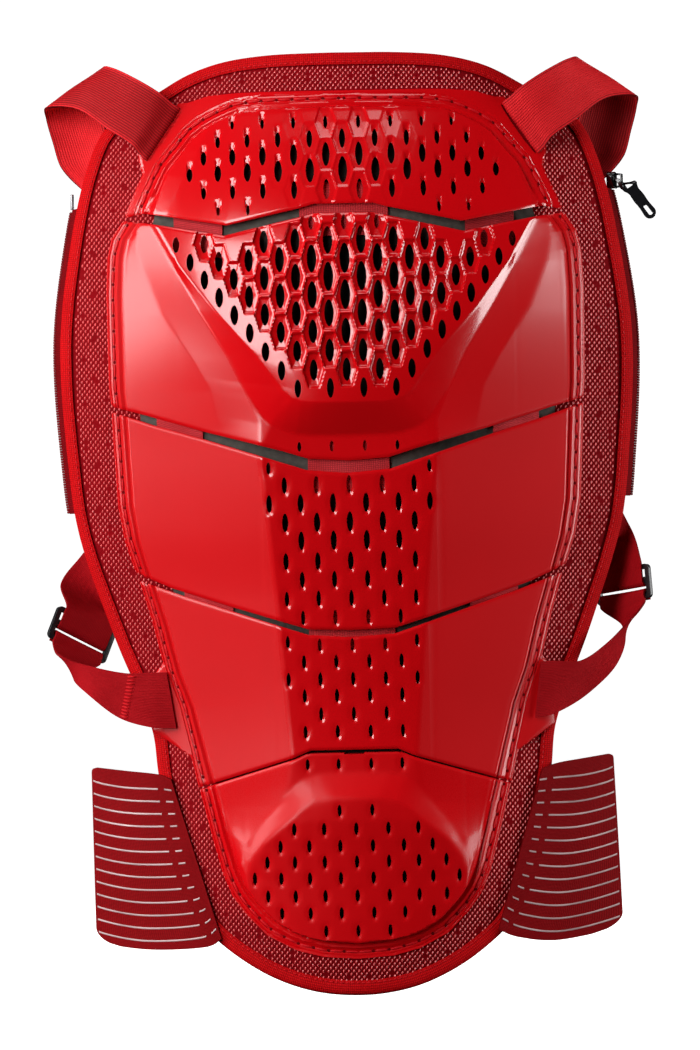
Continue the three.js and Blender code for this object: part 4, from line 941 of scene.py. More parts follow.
def shellPlace(shell, u, v, inside):
    columns = int(np.sum(np.isclose(v, v[0])))
    t = np.interp(1 - v, *shell["rows"])
    x, reach = shellAcross(shell, u, t)
    top, bottom = shellSpan(shell, x)
    z = top + (bottom - top) * t
    ridge, foot = shellRead(shell, "ridge", t), shellRead(shell, "foot", t)
    rise = shellRise(shell, x, z, t)
    away = rimDistance(shell, x, z, t)
    if inside:
        sunk = np.where(np.abs(x) < ridge + 3, moulding["sunk"], 0)
        rise = np.where(away < moulding["stepTo"], 0, rise - moulding["wall"] - sunk)
        return stack(x, padFront(x, z) - np.maximum(rise, moulding["lift"]), z)
    rise = rise.reshape(-1, columns)
    rise = blurRows(blurRows(rise, shell["soft"]).T, shell["soft"]).T.ravel()
    rise = rise - recessDepth(shell, x, z)
    flange = np.interp(away, moulding["flangeIn"], moulding["flangeUp"])
    plate = (away < moulding["flangeIn"][1]) & (reach - np.abs(x) > 0.8)
    flange = np.where(plate, moulding["plateUp"], flange)
    step = np.clip((away - moulding["stepFrom"]) / (moulding["stepTo"] - moulding["stepFrom"]), 0, 1)
    valley = moulding["flangeUp"][-1]
    rise = np.where(away < moulding["stepFrom"], flange, valley + (rise - valley) * step)
    slotAway = np.minimum(top - z, z - bottom)
    if shell["top"] == "collar":
        slotAway = z - bottom
    if shell["bottom"] == "tail":
        slotAway = top - z
    rise = rise - moulding["edgeDrop"] * np.clip(1 - slotAway / moulding["edgeRound"], 0, 1) ** 2
    inner, outer = shell["polish"]
    fade = moulding["polishFade"]
    shell["polished"] = outer + (inner - outer) * smoothStep(fade, -fade, np.abs(x) - foot)
    return stack(x, padFront(x, z) - rise, z)


# Cutters for the holes: a pointed bar modelled once
def holeBars(shell, surface):
    bar = newShape(bpy.ops.mesh.primitive_cylinder_add, vertices=16, radius=1, depth=2,
                   rotation=(math.pi / 2, 0, 0))
    bpy.ops.object.transform_apply(location=False, rotation=True, scale=False)
    spots = readSpots(bar)
    angle = np.arctan2(spots[:, 2], spots[:, 0])
    pointX, pointZ = moulding["holePoint"]
    spots[:, 0] = np.sign(np.cos(angle)) * np.abs(np.cos(angle)) ** pointX
    spots[:, 2] = np.sign(np.sin(angle)) * np.abs(np.sin(angle)) ** pointZ
    writeSpots(bar, spots)
    origins, axes = [], []
    for x, z, long, wide, _ in holeCentres(shell):
        origins.append((x, frontHit(surface, x, z).y / mm + moulding["holeIn"], z))
        axes.append(np.diag([wide / 2, moulding["holeDeep"], long / 2]))
    if "slot" in shell:
        high, low = np.array(shell["slot"]["from"]), np.array(shell["slot"]["to"])
        middle, half = (high + low) / 2, (high - low) / 2
        side = np.array([half[1], -half[0]]) / np.hypot(*half) * shell["slot"]["wide"] / 2
        lean = padFront(*high) - padFront(*low)
        for hand in (-1, 1):
            x, z = hand * middle[0], middle[1]
            origins.append((x, frontHit(surface, x, z).y / mm + moulding["slotIn"], z))
            across, along = [hand * side[0], 0, side[1]], [hand * half[0], lean / 2, half[1]]
            axes.append(np.array([across, [0, moulding["slotDeep"], 0], along]))
    return stampPiece("hole_bars", bar, origins, np.array(axes))


# Dark pills between the stitches, painted shade in the needle holes
needleHoleShade = []


def addShell(shell):
    across, along = 2 * sum(shell["columns"]), shell["along"]
    piece = gridPiece(shell["name"] + "_cover", across, along, lambda u, v: shellPlace(shell, u, v, False))
    paintPoints(piece, "polish", shell["polished"])
    surface = surfaceOf(piece)
    inner = gridPiece("inner_face", across // 4, along // 4, lambda u, v: shellPlace(shell, u, v, True))
    piece = joinPieces(shell["name"] + "_cover", [piece, inner])
    editMesh(piece, bridgeRims, faceOut)
    bars = holeBars(shell, surface)
    applyModifier(piece, "BOOLEAN", object=bars, operation="DIFFERENCE", solver="MANIFOLD")
    bpy.data.objects.remove(bars)
    smoothBy(piece, 42)
    dress(piece, finishes[shell["finish"]], nodes=[shell["name"]])
    x, z = seamLine(shell)
    rows = []
    for hand in (-1, 1):
        path = pathThrough(stack(hand * x, 0 * x, z))[0](np.linspace(0.01, 0.99, 160))
        hits = [frontHit(surface, p[0], p[2]) for p in path]
        points = np.array([tuple(hit) for hit in hits if hit]) / mm
        normals = backNormal(points[:, 0], points[:, 2])
        rows.append(stitchRow("row", points, normals, **stitching["shell"]))
        # A dark pill between each pair of stitches: painted shade in the needle holes
        needleHoleShade.append(stitchRow("holeShade", points, normals, **stitching["holeShade"]))
    sew(joinPieces(shell["name"] + "_stitches", rows))
    print(shell["name"], len(piece.data.polygons), "faces")


for shell in shells:
    addShell(shell)
sew(joinPieces("needle_hole_shade", needleHoleShade), "holeShade")
print("shells moulded")


# Mesh pad: two faces pressed together inside the binding
pad = {
    "edge": [259, 251.5, 239, 215, 172, 107, 28, -7, -64, -118, -144, -197, -230, -237],
    "half": [104, 118, 138, 150, 160, 168, 164, 158.5, 139.5, 118.5, 115.5, 106, 91.5, 87.5],
    "bow": [18.3, 16.8, 14, 10, 5, 0, 0, 0, 0, 0, -2, -18, -34.5, -37],
    "power": [4, 3.8, 3.4, 3, 2.6, 2.4, 2.2, 2.2, 2.2, 2.2, 2.2, 2.2, 2.2, 2.2],
    "inset": 2.7, "insets": [0, 1.2, 8.5, 15, 26], "thick": [0, 3.0, 5.9, 7.4, 8], "lean": 0.4,
    "puff": 1.6, "puffFrom": 9, "puffTo": 40, "across": 150, "along": 190,
}


def outlinePoint(edge, share, inset=0.0):
    half = readCurve(pad["edge"], pad["half"], edge) - inset
    bow = readCurve(pad["edge"], pad["bow"], edge)
    power = readCurve(pad["edge"], pad["power"], edge)
    return share * half, edge + bow * (1 - np.abs(share) ** power)


def padOutline():
    top, bottom = pad["edge"][0], pad["edge"][-1]
    side = np.linspace(top, bottom, 400)
    share = np.linspace(-1, 1, 300)
    right = np.stack(outlinePoint(side, np.ones_like(side)), axis=-1)
    under = np.stack(outlinePoint(np.full_like(share, bottom), -share), axis=-1)
    left = right[::-1] * np.array([-1, 1])
    over = np.stack(outlinePoint(np.full_like(share, top), share), axis=-1)
    loop = np.concatenate([right, under[1:], left[1:], over[1:-1]])
    closed = np.vstack([loop, loop[:1]])
    run = runAlong(closed)
    even = readAlong(closed, run, np.linspace(0, run[-1], 721)[:-1])
    for _ in range(12):
        even = 0.5 * even + 0.25 * (np.roll(even, 1, axis=0) + np.roll(even, -1, axis=0))
    return even, run[-1]


outline, outlineLength = padOutline()


def insetAt(x, z):
    spots = np.stack([x, z], axis=-1)
    best = np.full(len(spots), 1e9)
    for start in range(0, len(outline), 90):
        away = spots[:, None, :] - outline[None, start:start + 90, :]
        best = np.minimum(best, np.sqrt((away ** 2).sum(-1)).min(1))
    return best


def padFace(u, v, front):
    share = 2 * u - 1
    edge = pad["edge"][-1] + pad["inset"] + v * (pad["edge"][0] - pad["edge"][-1] - 2 * pad["inset"])
    x, z = outlinePoint(edge, share, pad["inset"])
    inset = np.maximum(insetAt(x, z) - pad["inset"], 0)
    rim = np.isclose(np.abs(share), 1) | np.isclose(v, 0) | np.isclose(v, 1)
    inset = np.where(rim, 0, inset)
    thick = np.interp(inset, pad["insets"], pad["thick"])
    press = torso["padThickness"] - thick
    swell = np.clip((inset - pad["puffFrom"]) / (pad["puffTo"] - pad["puffFrom"]), 0, 1)
    puff = pad["puff"] * np.sin(math.pi * swell)
    if front:
        return stack(x, padFront(x, z) + (1 - pad["lean"]) * press - puff, z)
    return stack(x, backAt(x, z) - pad["lean"] * press, z)


def addPad():
    piece = cushionPiece("mesh_pad", pad["across"], pad["along"], padFace, 80)
    dress(piece, finishes["mesh"], nodes=["back_pad"])
    return piece


# Knitted face of the pad: slanted loops in staggered rows with open holes between them
knit = {
    "pitch": 2.96, "row": 1.85, "loop": (2.5, 1.25, 0.8), "lean": 77, "slitPitch": (12.8, 25),
    "slit": (1.0, 2.6), "inset": 8.4, "underShell": 3, "overFoam": 2, "top": 240, "bottom": -238,
    "stand": 0.15, "columns": 60, "rows": 155,
}


def underShell(x, z, margin):
    covered = np.zeros(len(x), bool)
    for shell in shells:
        top, bottom = shellSpan(shell, x)
        t = (top - z) / (top - bottom)
        reach = shellHalf(shell, np.clip(t, 0, 1)) + shellRead(shell, "ear", np.clip(t, 0, 1))
        covered |= (t > 0) & (t < 1) & (np.abs(x) < reach - margin)
    return covered


def addKnit(padPiece):
    surface = surfaceOf(padPiece)
    columns, rows = knit["columns"], knit["rows"]
    i, j = np.meshgrid(np.arange(-columns, columns + 1), np.arange(-rows, rows))
    x = (i + 0.5 * (j % 2)).ravel() * knit["pitch"]
    z = j.ravel() * knit["row"]
    inset = insetAt(x, z)
    top = outlinePoint(np.full_like(x, pad["edge"][0]), np.clip(x / pad["half"][0], -1, 1))[1]
    low = outlinePoint(np.full_like(x, pad["edge"][-1]), np.clip(x / pad["half"][-1], -1, 1))[1]
    side = readCurve(pad["edge"], pad["half"], np.clip(z, pad["edge"][-1], pad["edge"][0]))
    inside = (z < top) & (z > low) & (np.abs(x) < side)
    foamHalf = readLine(foam["z"], foam["half"], z)
    pastFoam = (np.abs(x) > foamHalf - knit["overFoam"]) | (z > knit["top"]) | (z < knit["bottom"])
    clear = pastFoam & ~underShell(x, z, knit["underShell"])
    px, pz = x / knit["slitPitch"][0], z / knit["slitPitch"][1]
    slit = np.zeros(len(x), bool)
    for shift in (0, 0.5):
        dx = (px - shift - np.round(px - shift)) * knit["slitPitch"][0] / knit["slit"][0]
        dz = (pz - shift - np.round(pz - shift)) * knit["slitPitch"][1] / knit["slit"][1]
        slit |= np.hypot(dx, dz) < 1
    keep = inside & clear & (inset > knit["inset"]) & ~slit
    x, z = x[keep], z[keep]
    hits = [frontHit(surface, a, b) for a, b in zip(x, z)]
    found = np.array([hit is not None for hit in hits])
    spots = np.array([hit for hit in hits if hit is not None]) / mm
    x, z = x[found], z[found]
    out = backNormal(x, z)
    lean = math.radians(knit["lean"])
    along = np.array([math.cos(lean), 0, math.sin(lean)]) + 0 * out
    along = unit(along - (along * out).sum(-1, keepdims=True) * out)
    axes = np.stack([along, np.cross(out, along), out], axis=1)
    loop = newShape(bpy.ops.mesh.primitive_cone_add, vertices=6, radius1=0.5, radius2=0.24, depth=1,
                    end_fill_type="NGON")
    editMesh(loop, lambda: bpy.ops.transform.resize(value=knit["loop"]))
    piece = stampPiece("knit_face", loop, spots + out * knit["stand"], axes)
    smoothBy(piece, 100)
    dress(piece, finishes["knit"])
    print("knit loops", len(x))


# Foam core and woven links
foam = {
    "z": [236, 214, 186, 140, 70, 30, -10, -50, -100, -150, -195, -228],
    "half": [70, 92, 109, 122, 121, 119.5, 114, 99, 85, 74, 61, 42],
    "rise": [2.4, 4.6, 8, 8, 8, 8, 8, 8, 8, 8, 5.4, 2.6],
    "shoulder": 40, "edgeRise": 1.8, "lift": 0.8, "dark": (7, 12), "shade": 0.85,
    "across": 80, "along": 120,
}
linkSettings = {"wall": 0.9, "seat": 0.6, "reach": 13, "bow": 0.35}
links = [
    (1, "left", -84.5, 28.5), (1, "centre", 0, 51), (1, "right", 84.5, 28.5),
    (2, "left", -97.5, 27), (2, "centre", 0, 47), (2, "right", 97.5, 27),
    (3, "left", -83, 28.5), (3, "centre", 0, 50), (3, "right", 83, 28.5),
]


def foamRise(x, z):
    half = readLine(foam["z"], foam["half"], z)
    rise = np.maximum(readLine(foam["z"], foam["rise"], z), foam["edgeRise"])
    share = np.clip((half - np.abs(x)) / (half - foam["shoulder"]), 0, 1)
    return foam["edgeRise"] + (rise - foam["edgeRise"]) * share


def foamFace(u, v, front):
    z = foam["z"][-1] + v * (foam["z"][0] - foam["z"][-1])
    x = (2 * u - 1) * readLine(foam["z"], foam["half"], z)
    rise = foamRise(x, z) if front else np.full_like(x, foam["lift"])
    rim = np.isclose(np.abs(2 * u - 1), 1) | np.isclose(v, 0) | np.isclose(v, 1)
    return stack(x, padFront(x, z) - np.where(rim, foam["lift"], rise), z)


def addFoam():
    piece = cushionPiece("foam_sheet", foam["across"], foam["along"], foamFace, 50)
    spots = readSpots(piece) / mm
    away = np.full(len(spots), 99.0)
    for slot in (1, 2, 3):
        above = np.interp(np.abs(spots[:, 0]), *edges["slot%dAbove" % slot])
        below = np.interp(np.abs(spots[:, 0]), *edges["slot%dBelow" % slot])
        away = np.minimum(away, np.abs(spots[:, 2] - (above + below) / 2))
    # The foam is painted darker away from the slots: painted shade where the shells cover it
    paintPoints(piece, "lit", 1 - foam["shade"] * smoothStep(*foam["dark"], away))
    dress(piece, finishes["foam"], nodes=["foam_core"])


def addLink(slot, side, middle, width):
    above, below = edges["slot%dAbove" % slot], edges["slot%dBelow" % slot]

    def place(u, v):
        x = middle + (u - 0.5) * width
        top = np.interp(np.abs(x), *above) + linkSettings["reach"]
        bottom = np.interp(np.abs(x), *below) - linkSettings["reach"]
        z = bottom + (top - bottom) * v
        seat = foamRise(x, z) + linkSettings["seat"] + linkSettings["bow"] * np.sin(math.pi * v)
        return stack(x, padFront(x, z) - seat - linkSettings["wall"], z)

    name = "link_%d_%s" % (slot, side)
    piece = gridPiece(name + "_weave", 24, 24, place)
    thicken(piece, linkSettings["wall"], -1, 50)
    dress(piece, finishes["link"], nodes=[name])


# Binding: a folded knitted tape round the whole rim
binding = {
    "out": [-9.4, -8.2, -5, -2, -0.6, 0, -0.6, -2, -5, -8.2, -9.4],
    "up": [3.0, 3.4, 3.8, 3.3, 1.9, 0, -1.9, -3.3, -3.7, -3.2, -2.7],
    "rimMiddle": 3.54, "wall": 0.8, "around": 720, "profile": 20, "seam": (-7.9, 3.5),
    "pucker": 0.16, "puckers": 260, "puckerAt": (0.36, 0.1),
    "waves": (31, 17), "waveStart": 1.3, "waveHigh": 0.25, "waveUp": 0.05, "waveOut": 0.2,
}


def rimFrames(share):
    count = len(outline)
    at = np.asarray(share) * count

    def around(loop):
        return readAlong(np.vstack([loop, loop[:1]]), np.arange(count + 1), at).T

    x, z = around(outline)
    dx, dz = around(np.roll(outline, -2, axis=0) - np.roll(outline, 2, axis=0))
    dy = (backAt(x + dx * 0.05, z + dz * 0.05) - backAt(x - dx * 0.05, z - dz * 0.05)) * 10
    normal = backNormal(x, z)
    out = unit(np.cross(normal, unit(stack(dx, dy, dz))))
    middle = stack(x, backAt(x, z) - binding["rimMiddle"], z)
    out = np.where(((out * stack(x, 0 * x, z)).sum(-1) > 0)[:, None], out, -out)
    return middle, normal, out


def addBinding():
    bend = np.linspace(0, 1, len(binding["out"]))

    def place(u, v):
        middle, normal, out = rimFrames(u)
        reach = readCurve(bend, binding["out"], v)
        up = readCurve(bend, binding["up"], v)
        turn = u * 2 * math.pi
        puckerAt, puckerWide = binding["puckerAt"]
        crest = np.exp(-((np.abs(v - 0.5) - puckerAt) / puckerWide) ** 2)
        wave = binding["pucker"] * np.sin(turn * binding["puckers"]) * crest
        first, second = binding["waves"]
        slow = binding["waveHigh"] * np.sin(turn * first + binding["waveStart"]) * np.sin(turn * second)
        up = up * (1 + binding["waveUp"] * slow) + np.sign(up) * wave
        return middle + out * (reach + binding["waveOut"] * slow)[:, None] + normal * up[:, None]

    piece = gridPiece("rim_binding", binding["around"], binding["profile"], place)
    editMesh(piece, mergeDoubles, faceOut)
    thicken(piece, binding["wall"], -1, 70)
    dress(piece, finishes["binding"], nodes=["edge_binding"])
    middle, normal, out = rimFrames(np.linspace(0, 1, 721)[:-1])
    seamOut, seamUp = binding["seam"]
    line = middle + out * seamOut + normal * seamUp
    line, normal = np.vstack([line, line[:1]]), np.vstack([normal, normal[:1]])
    sew(stitchRow("binding_stitches", line, normal, **stitching["binding"]))


# Straps: a band between two edge lines, with ribs along its length
def bandPlace(edgeA, edgeB, ribs, ribHigh, crown=0.0, bend=(0.25, 0.5, 0.75, 0.95)):
    readA, lengthA = pathThrough(edgeA)
    readB, lengthB = pathThrough(edgeB)

    def place(u, v):
        a, b = readA(v), readB(v)
        spot = a + (b - a) * u[:, None]
        step = 0.004
        lowV, highV = np.clip(v - step, 0, 1), np.clip(v + step, 0, 1)
        before = readA(lowV) + (readB(lowV) - readA(lowV)) * u[:, None]
        after = readA(highV) + (readB(highV) - readA(highV)) * u[:, None]
        out = unit(np.cross(b - a, after - before))
        inner = smoothStep(0.03, 0.08, np.minimum(u, 1 - u))
        bulge = smoothStep(bend[0], bend[1], v) * (1 - smoothStep(bend[2], bend[3], v))
        relief = ribHigh * inner * np.cos(2 * math.pi * (ribs * u + 0.5))
        relief = relief + crown * bulge * np.sin(math.pi * u)
        return spot + out * relief[:, None]

    return place, (lengthA + lengthB) / 2


# How far a band's near face stands off the pad, in a slot, on a shell and behind
bandSeat = {"slot": 0.6, "front": 3.2, "back": 1.1}


def seatRow(row, hand, thickness):
    ends = []
    for x, y, z in (row[0:3], row[3:6]):
        if y == "slot":
            y = padFront(x, z) - bandSeat["slot"]
        elif y == "front":
            y = padFront(x, z) - bandSeat["front"] - thickness / 2
        elif y == "back":
            y = backAt(x, z) + bandSeat["back"] + thickness / 2
        ends.append((hand * x, float(y), z))
    return ends


# rows: inner edge x y z, outer edge x y z
shoulder = {
    "wall": 1.6, "ribs": 24, "ribHigh": 0.13, "crown": 4.0, "across": 152, "along": 140, "width": 34,
    "rows": [
        (94.2, "slot", 245.9, 114.4, "slot", 215.4),
        (95.4, "front", 246.7, 115.6, "front", 216.2),
        (98.4, 25.6, 248.8, 118.2, 22.4, 218.8),
        (107, 24, 256, 123, 22, 225),
        (121, 28, 265, 137, 29, 235),
        (134, 38, 272, 156, 45, 249),
        (141, 52, 273, 175, 57, 251),
        (145, 63, 262, 176, 68, 245),
        (141, 64, 240, 173, 70, 233),
        (134, 58, 221, 168, 68, 217),
        (120, "back", 197, 150, "back", 197),
    ],
}


def addShoulderStrap(name, hand):
    rows = [seatRow(row, hand, shoulder["wall"]) for row in shoulder["rows"]]
    place, length = bandPlace(*zip(*rows), shoulder["ribs"], shoulder["ribHigh"], hand * shoulder["crown"])
    piece = gridPiece("shoulder_elastic_" + name, shoulder["across"], shoulder["along"], place)
    thicken(piece, shoulder["wall"], 0, 60)
    dress(piece, finishes["elastic"], nodes=["shoulder_strap_" + name])


waist = {
    "wall": 1.3, "width": 34, "cut": 32, "ribs": 9, "ribHigh": 0.03, "across": 40, "along": 190,
    "lowEnd": [(-12.5, 2.5), (-8.5, 2.5), (-6.4, 2.2), (-5.2, 1.2), (-4.9, 0), (-5.2, -1.2), (-6.4, -2.2),
               (-8.5, -2.5), (-11, -2.6)],
    "highEnd": [(3, -2.5), (0.8, -2.5), (-1, -2.2), (-2.2, -1.1), (-2.5, 0), (-2.2, 1.1), (-1, 2.2),
                (0.8, 2.5), (4, 2.6), (7.25, 2.6), (11.5, 2.6)],
    "tack": {"stitches": 13, "x": -132, "lean": 0.06, "stitch": (5.4, 1.3, 1.6), "ends": (0.07, 0.93)},
    "left": {
        "outer": (-175, 50, -54), "inner": (-147, 67, -70),
        "below": [
            (-109, "front", -84, -104, "front", -117), (-120, 23, -84, -119, 21, -116),
            (-134, 25, -84, -138, 26, -110), (-157, 33, -79, -155, 31, -97), (-174, 43, -73, -165, 50, -86),
        ],
        "above": [(-172, 54, -31, -146, 66, -49), (-158, "back", -13, -142, "back", -41)],
    },
    "right": {
        "outer": (173, 50, -37), "inner": (151, 71, -41),
        "below": [
            (110, "front", -82, 106, "front", -115), (119, 23, -82, 117, 21, -113),
            (134, 25, -82, 137, 26, -102), (150, 34, -72, 155, 31, -85), (166, 45, -58, 161, 56, -64),
        ],
        "above": [(168, 54, -9, 149, 66, -19), (160, "back", 7, 148, "back", -25)],
    },
    "turn": 0.06,
}


def threadedRows(side, path):
    p, q = np.array(side["outer"], float), np.array(side["inner"], float)
    across = unit(q - p)
    up = np.array([0, waist["turn"], 1.0])
    along = unit(up - (up @ across) * across)
    out = np.cross(across, along)
    out = -out if out[1] > 0 else out
    rows = []
    for run, stand in path:
        centre = (p + q) / 2 + along * run + out * stand
        rows.append((centre - across * waist["width"] / 2, centre + across * waist["width"] / 2))
    return rows


# A close row of stitches across the webbing
def addTack(place):
    tack = waist["tack"]
    v = np.linspace(0, 0.9, 300)
    first = np.argmax(place(np.full_like(v, 0.5), v)[:, 0] < tack["x"])
    u = np.linspace(*tack["ends"], tack["stitches"])
    at = v[first] + tack["lean"] * (u - 0.5)
    spots = place(u, at)
    along = unit(place(u, at + 0.01) - place(u, at - 0.01))
    across = unit(place(u + 0.02, at) - place(u - 0.02, at))
    out = unit(np.cross(along, across))
    out = np.where(out[:, 1:2] > 0, -out, out)
    axes = np.stack([along, unit(np.cross(out, along)), out], axis=1)
    sew(stampPiece("strap_tack", pillPattern(*tack["stitch"]), spots + out * waist["wall"] / 2, axes))


def addWaistStrap(name):
    side = waist[name]
    below = [seatRow(row, 1, waist["wall"]) for row in side["below"]]
    above = [seatRow(row, 1, waist["wall"]) for row in side["above"]]
    parts, length = [], 0
    for rows in (below + threadedRows(side, waist["lowEnd"]), threadedRows(side, waist["highEnd"]) + above):
        place, long = bandPlace(*zip(*rows), waist["ribs"], waist["ribHigh"])
        parts.append(gridPiece("webbing", waist["across"], waist["along"], place))
        length += long
        if rows[0] == below[0] and name == "left":
            addTack(place)
    piece = joinPieces("waist_webbing_" + name, parts)
    thicken(piece, waist["wall"], 0, 60)
    dress(piece, finishes["webbing"], nodes=["side_strap_" + name])
    glide = cadCopy("buckle_" + name, "tri_glide_" + name)
    roundEdges(glide, 0.6, 3, 40)
    smoothBy(glide, 40)
    dress(glide, finishes["buckle"], nodes=["tri_glide_" + name])


# Belt wings: elastic with grip stripes
wing = {
    "wall": 1.5, "stand": 8.2, "stripes": 13, "stripeWide": 1.15, "stripeHigh": 0.4, "stripeEnd": 0.985,
    "across": 60, "along": 110, "wide": 58, "tall": 103, "roundTop": 3, "roundBottom": 9, "sag": 2.4,
    "dash": (-6.2, -2.2), "gap": 1.6, "sagShape": 0.6, "stripeSink": 0.1, "stripeWall": 0.3,
    "left": {
        "topX": [-108, -116, -136, -156], "topZ": [-147, -144, -142, -140],
        "bottomX": [-80, -90, -123, -155], "bottomZ": [-240, -245, -247, -244],
    },
    "right": {
        "topX": [110, 120, 136, 153], "topZ": [-145, -142, -140, -138],
        "bottomX": [82, 94, 118, 157], "bottomZ": [-238, -243, -246, -241],
    },
}


def wingSpot(side, u, v):
    steps = np.array([0, 1, 2, 3]) / 3
    for away, turn in (((1 - v) * wing["tall"], wing["roundTop"]), (v * wing["tall"], wing["roundBottom"])):
        bite = turn * (1 - np.sqrt(np.clip(1 - np.clip(1 - away / turn, 0, 1) ** 2, 0, 1)))
        u = u * (1 - bite / wing["wide"])
    topX, topZ = readCurve(steps, side["topX"], u), readCurve(steps, side["topZ"], u)
    bottomX, bottomZ = readCurve(steps, side["bottomX"], u), readCurve(steps, side["bottomZ"], u)
    return bottomX + (topX - bottomX) * v, bottomZ + (topZ - bottomZ) * v


# A stripe runs from the outer edge to the seam, and goes on as a short dash beside the mesh
def wingStripe(side, hand, level, part):
    share = np.linspace(0, 1, 200)
    x, z = wingSpot(side, share, np.full_like(share, level))
    seam = readCurve(pad["edge"], pad["half"], z)
    past = np.abs(x) - seam
    if part == "long":
        first, last = np.interp(wing["gap"], past, share), wing["stripeEnd"]
    else:
        first, last = np.interp(wing["dash"][0], past, share), np.interp(wing["dash"][1], past, share)

    def place(u, v):
        along = first + (last - first) * (u if hand > 0 else 1 - u)
        x, z = wingSpot(side, along, np.full_like(u, level))
        sag = wing["sag"] * np.sin(math.pi * (1 - along) ** wing["sagShape"])
        z = z - sag + (v - 0.5) * wing["stripeWide"]
        high = wing["stripeHigh"] * np.sqrt(np.clip(1 - (2 * v - 1) ** 2, 0, 1)) - wing["stripeSink"]
        return stack(x, backAt(x, z) - wing["stand"] - wing["wall"] - high, z)

    row = gridPiece("stripe", 40 if part == "long" else 6, 6, place)
    applyModifier(row, "SOLIDIFY", thickness=wing["stripeWall"] * mm, offset=-1)
    return row


def addWing(name):
    side = wing[name]
    hand = -1 if name == "left" else 1

    def place(u, v):
        u = u if hand > 0 else 1 - u
        x, z = wingSpot(side, u, v)
        return stack(x, backAt(x, z) - wing["stand"] - wing["wall"], z)

    piece = gridPiece("belt_wing_" + name, wing["across"], wing["along"], place)
    thicken(piece, wing["wall"], -1, 50)
    dress(piece, finishes["belt"], nodes=["waist_wing_" + name])
    rows = []
    for k in range(wing["stripes"]):
        level = (k + 1) / (wing["stripes"] + 1)
        for part in ("long", "dash"):
            rows.append(wingStripe(side, hand, level, part))
    grips = joinPieces("grip_stripes_" + name, rows)
    smoothBy(grips, 60)
    dress(grips, finishes["grip"])


# Zips: a tape sewn to the binding, moulded teeth, and a slider with its pull
zips = {
    "turn": (0.3, 0.954), "tape": 11, "tapeWall": 1.0, "gap": 0.4, "root": 0.9, "pitch": 1.5,
    "teethWide": 3.2, "toothShare": 0.94, "toothHigh": 2.4, "toothRound": 0.3,
    "left": (-1, 190, 10), "right": (1, 196, 14),
}
teethMiddle = zips["tape"] + zips["gap"] + zips["teethWide"] / 2
pull = {"above": 5.4, "stand": 3.9, "raised": 36, "twist": 70, "neck": (2, 8), "inner": 0.8, "thick": 0.8,
        "thickPast": 5, "broad": 0.3, "broadFrom": (1.5, 5), "broadTo": (15, 22)}


def zipTurn(hand):
    return unit(np.array([zips["turn"][0] * hand, zips["turn"][1], 0]))


def zipSeam(hand, z):
    x = readCurve(pad["edge"], pad["half"], z)
    normal = backNormal(x, z)
    outward = unit(stack(-normal[..., 1], normal[..., 0], 0 * x))
    spot = stack(x, backAt(x, z) - binding["rimMiddle"], z) + outward * zips["gap"]
    return spot * np.array([hand, 1, 1])


def addZip(name):
    hand, top, bottom = zips[name]
    turn = zipTurn(hand)

    def place(u, v):
        across = u if hand > 0 else 1 - u
        sewn = np.array([-hand, 0, 0]) * (zips["root"] * (1 - across) ** 2)[:, None]
        return zipSeam(hand, bottom + (top - bottom) * v) + turn * (across * zips["tape"])[:, None] + sewn

    piece = gridPiece("zip_cloth_" + name, 12, 90, place)
    thicken(piece, zips["tapeWall"], 0, 50)
    dress(piece, finishes["tape"], nodes=["zip_tape_" + name])
    z = np.arange(bottom + 1, top - 0.5, zips["pitch"])
    along = unit(zipSeam(hand, z + 1) - zipSeam(hand, z - 1))
    out = unit(np.cross(turn, along))
    axes = np.stack([np.broadcast_to(turn, along.shape), along, out], axis=1)
    tooth = newShape(bpy.ops.mesh.primitive_cube_add, size=1)
    size = (zips["teethWide"], zips["pitch"] * zips["toothShare"], zips["toothHigh"])
    editMesh(tooth, lambda: bpy.ops.transform.resize(value=size),
             lambda: bpy.ops.mesh.bevel(offset=zips["toothRound"], segments=1))
    teeth = stampPiece("zip_teeth_" + name, tooth, zipSeam(hand, z) + turn * teethMiddle, axes)
    smoothBy(teeth, 50)
    dress(teeth, finishes["teeth"], nodes=["zip_chain_" + name])


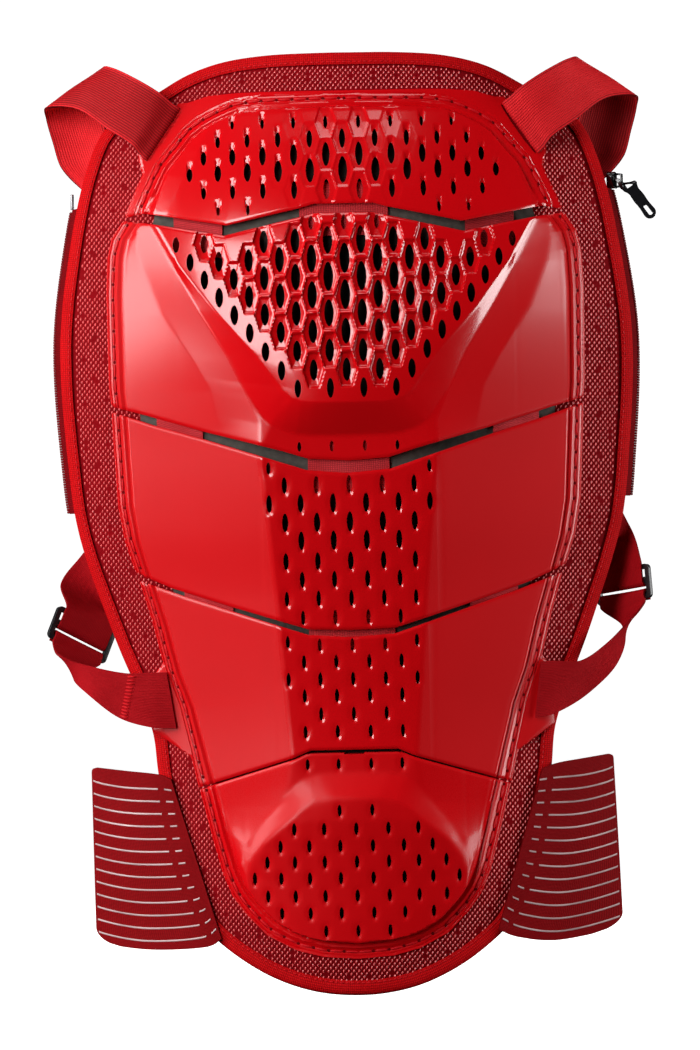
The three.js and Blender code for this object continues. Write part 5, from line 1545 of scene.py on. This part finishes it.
# The tab of the pull is turned about its inner edge to face the camera, so it still clears the teeth
def turnPull(piece):
    editMesh(piece, lambda: bpy.ops.mesh.quads_convert_to_tris(),
             lambda: bpy.ops.mesh.subdivide(number_cuts=5))
    hand, top, _ = zips["right"]
    turn = zipTurn(hand)
    out = np.cross(turn, [0, 0, 1])
    hinge = zipSeam(hand, np.array([float(top)]))[0] + turn * teethMiddle
    hinge = hinge + np.array([0, 0, pull["above"]]) + out * pull["stand"]
    raised = math.radians(pull["raised"])
    along = math.sin(raised) * out - math.cos(raised) * np.array([0, 0, 1])
    rel = readSpots(piece) / mm - hinge
    run = rel @ along
    side = rel - run[:, None] * along
    broad = smoothStep(*pull["broadFrom"], run) * (1 - smoothStep(*pull["broadTo"], run))
    side = side + turn * (pull["broad"] * broad * (side @ turn))[:, None]
    thin = smoothStep(*pull["neck"], run - pull["thickPast"])
    thick = pull["thick"] * smoothStep(*pull["broadFrom"], run) * (1 - thin)
    side = side + np.cross(along, turn) * (thick * (side @ np.cross(along, turn)))[:, None]
    angle = math.radians(pull["twist"]) * smoothStep(*pull["neck"], run)
    shift = (np.abs(side @ turn).max() - pull["inner"]) * np.sin(angle)
    side = side * np.cos(angle)[:, None] + np.cross(along, side) * np.sin(angle)[:, None]
    side = side + np.cross(along, turn) * shift[:, None]
    writeSpots(piece, (hinge + run[:, None] * along + side) * mm)


def addZipMetal():
    for name, node, body, finish, slot in (
        ("slider_body", "zip_slider", "guard", "metal", "zip_metal"),
        ("slider_pull", "zip_pull", "zip_pull", "metal", "zip_metal"),
        ("retaining_pin", "zip_pin_left", "guard", "pin", "pin_metal"),
    ):
        piece = cadCopy(name, node)
        roundEdges(piece, 0.35, 2, 35)
        if name == "slider_pull":
            turnPull(piece)
        smoothBy(piece, 35)
        dress(piece, finishes[finish], body=body, nodes=[node])


padPiece = addPad()
addKnit(padPiece)
print("pad made")
addFoam()
for link in links:
    addLink(*link)
addBinding()
print("foam, links and binding made")
for name, hand in (("left", -1), ("right", 1)):
    addShoulderStrap(name, hand)
    addWaistStrap(name)
    addWing(name)
    addZip(name)
addZipMetal()
print("straps, wings and zips made")
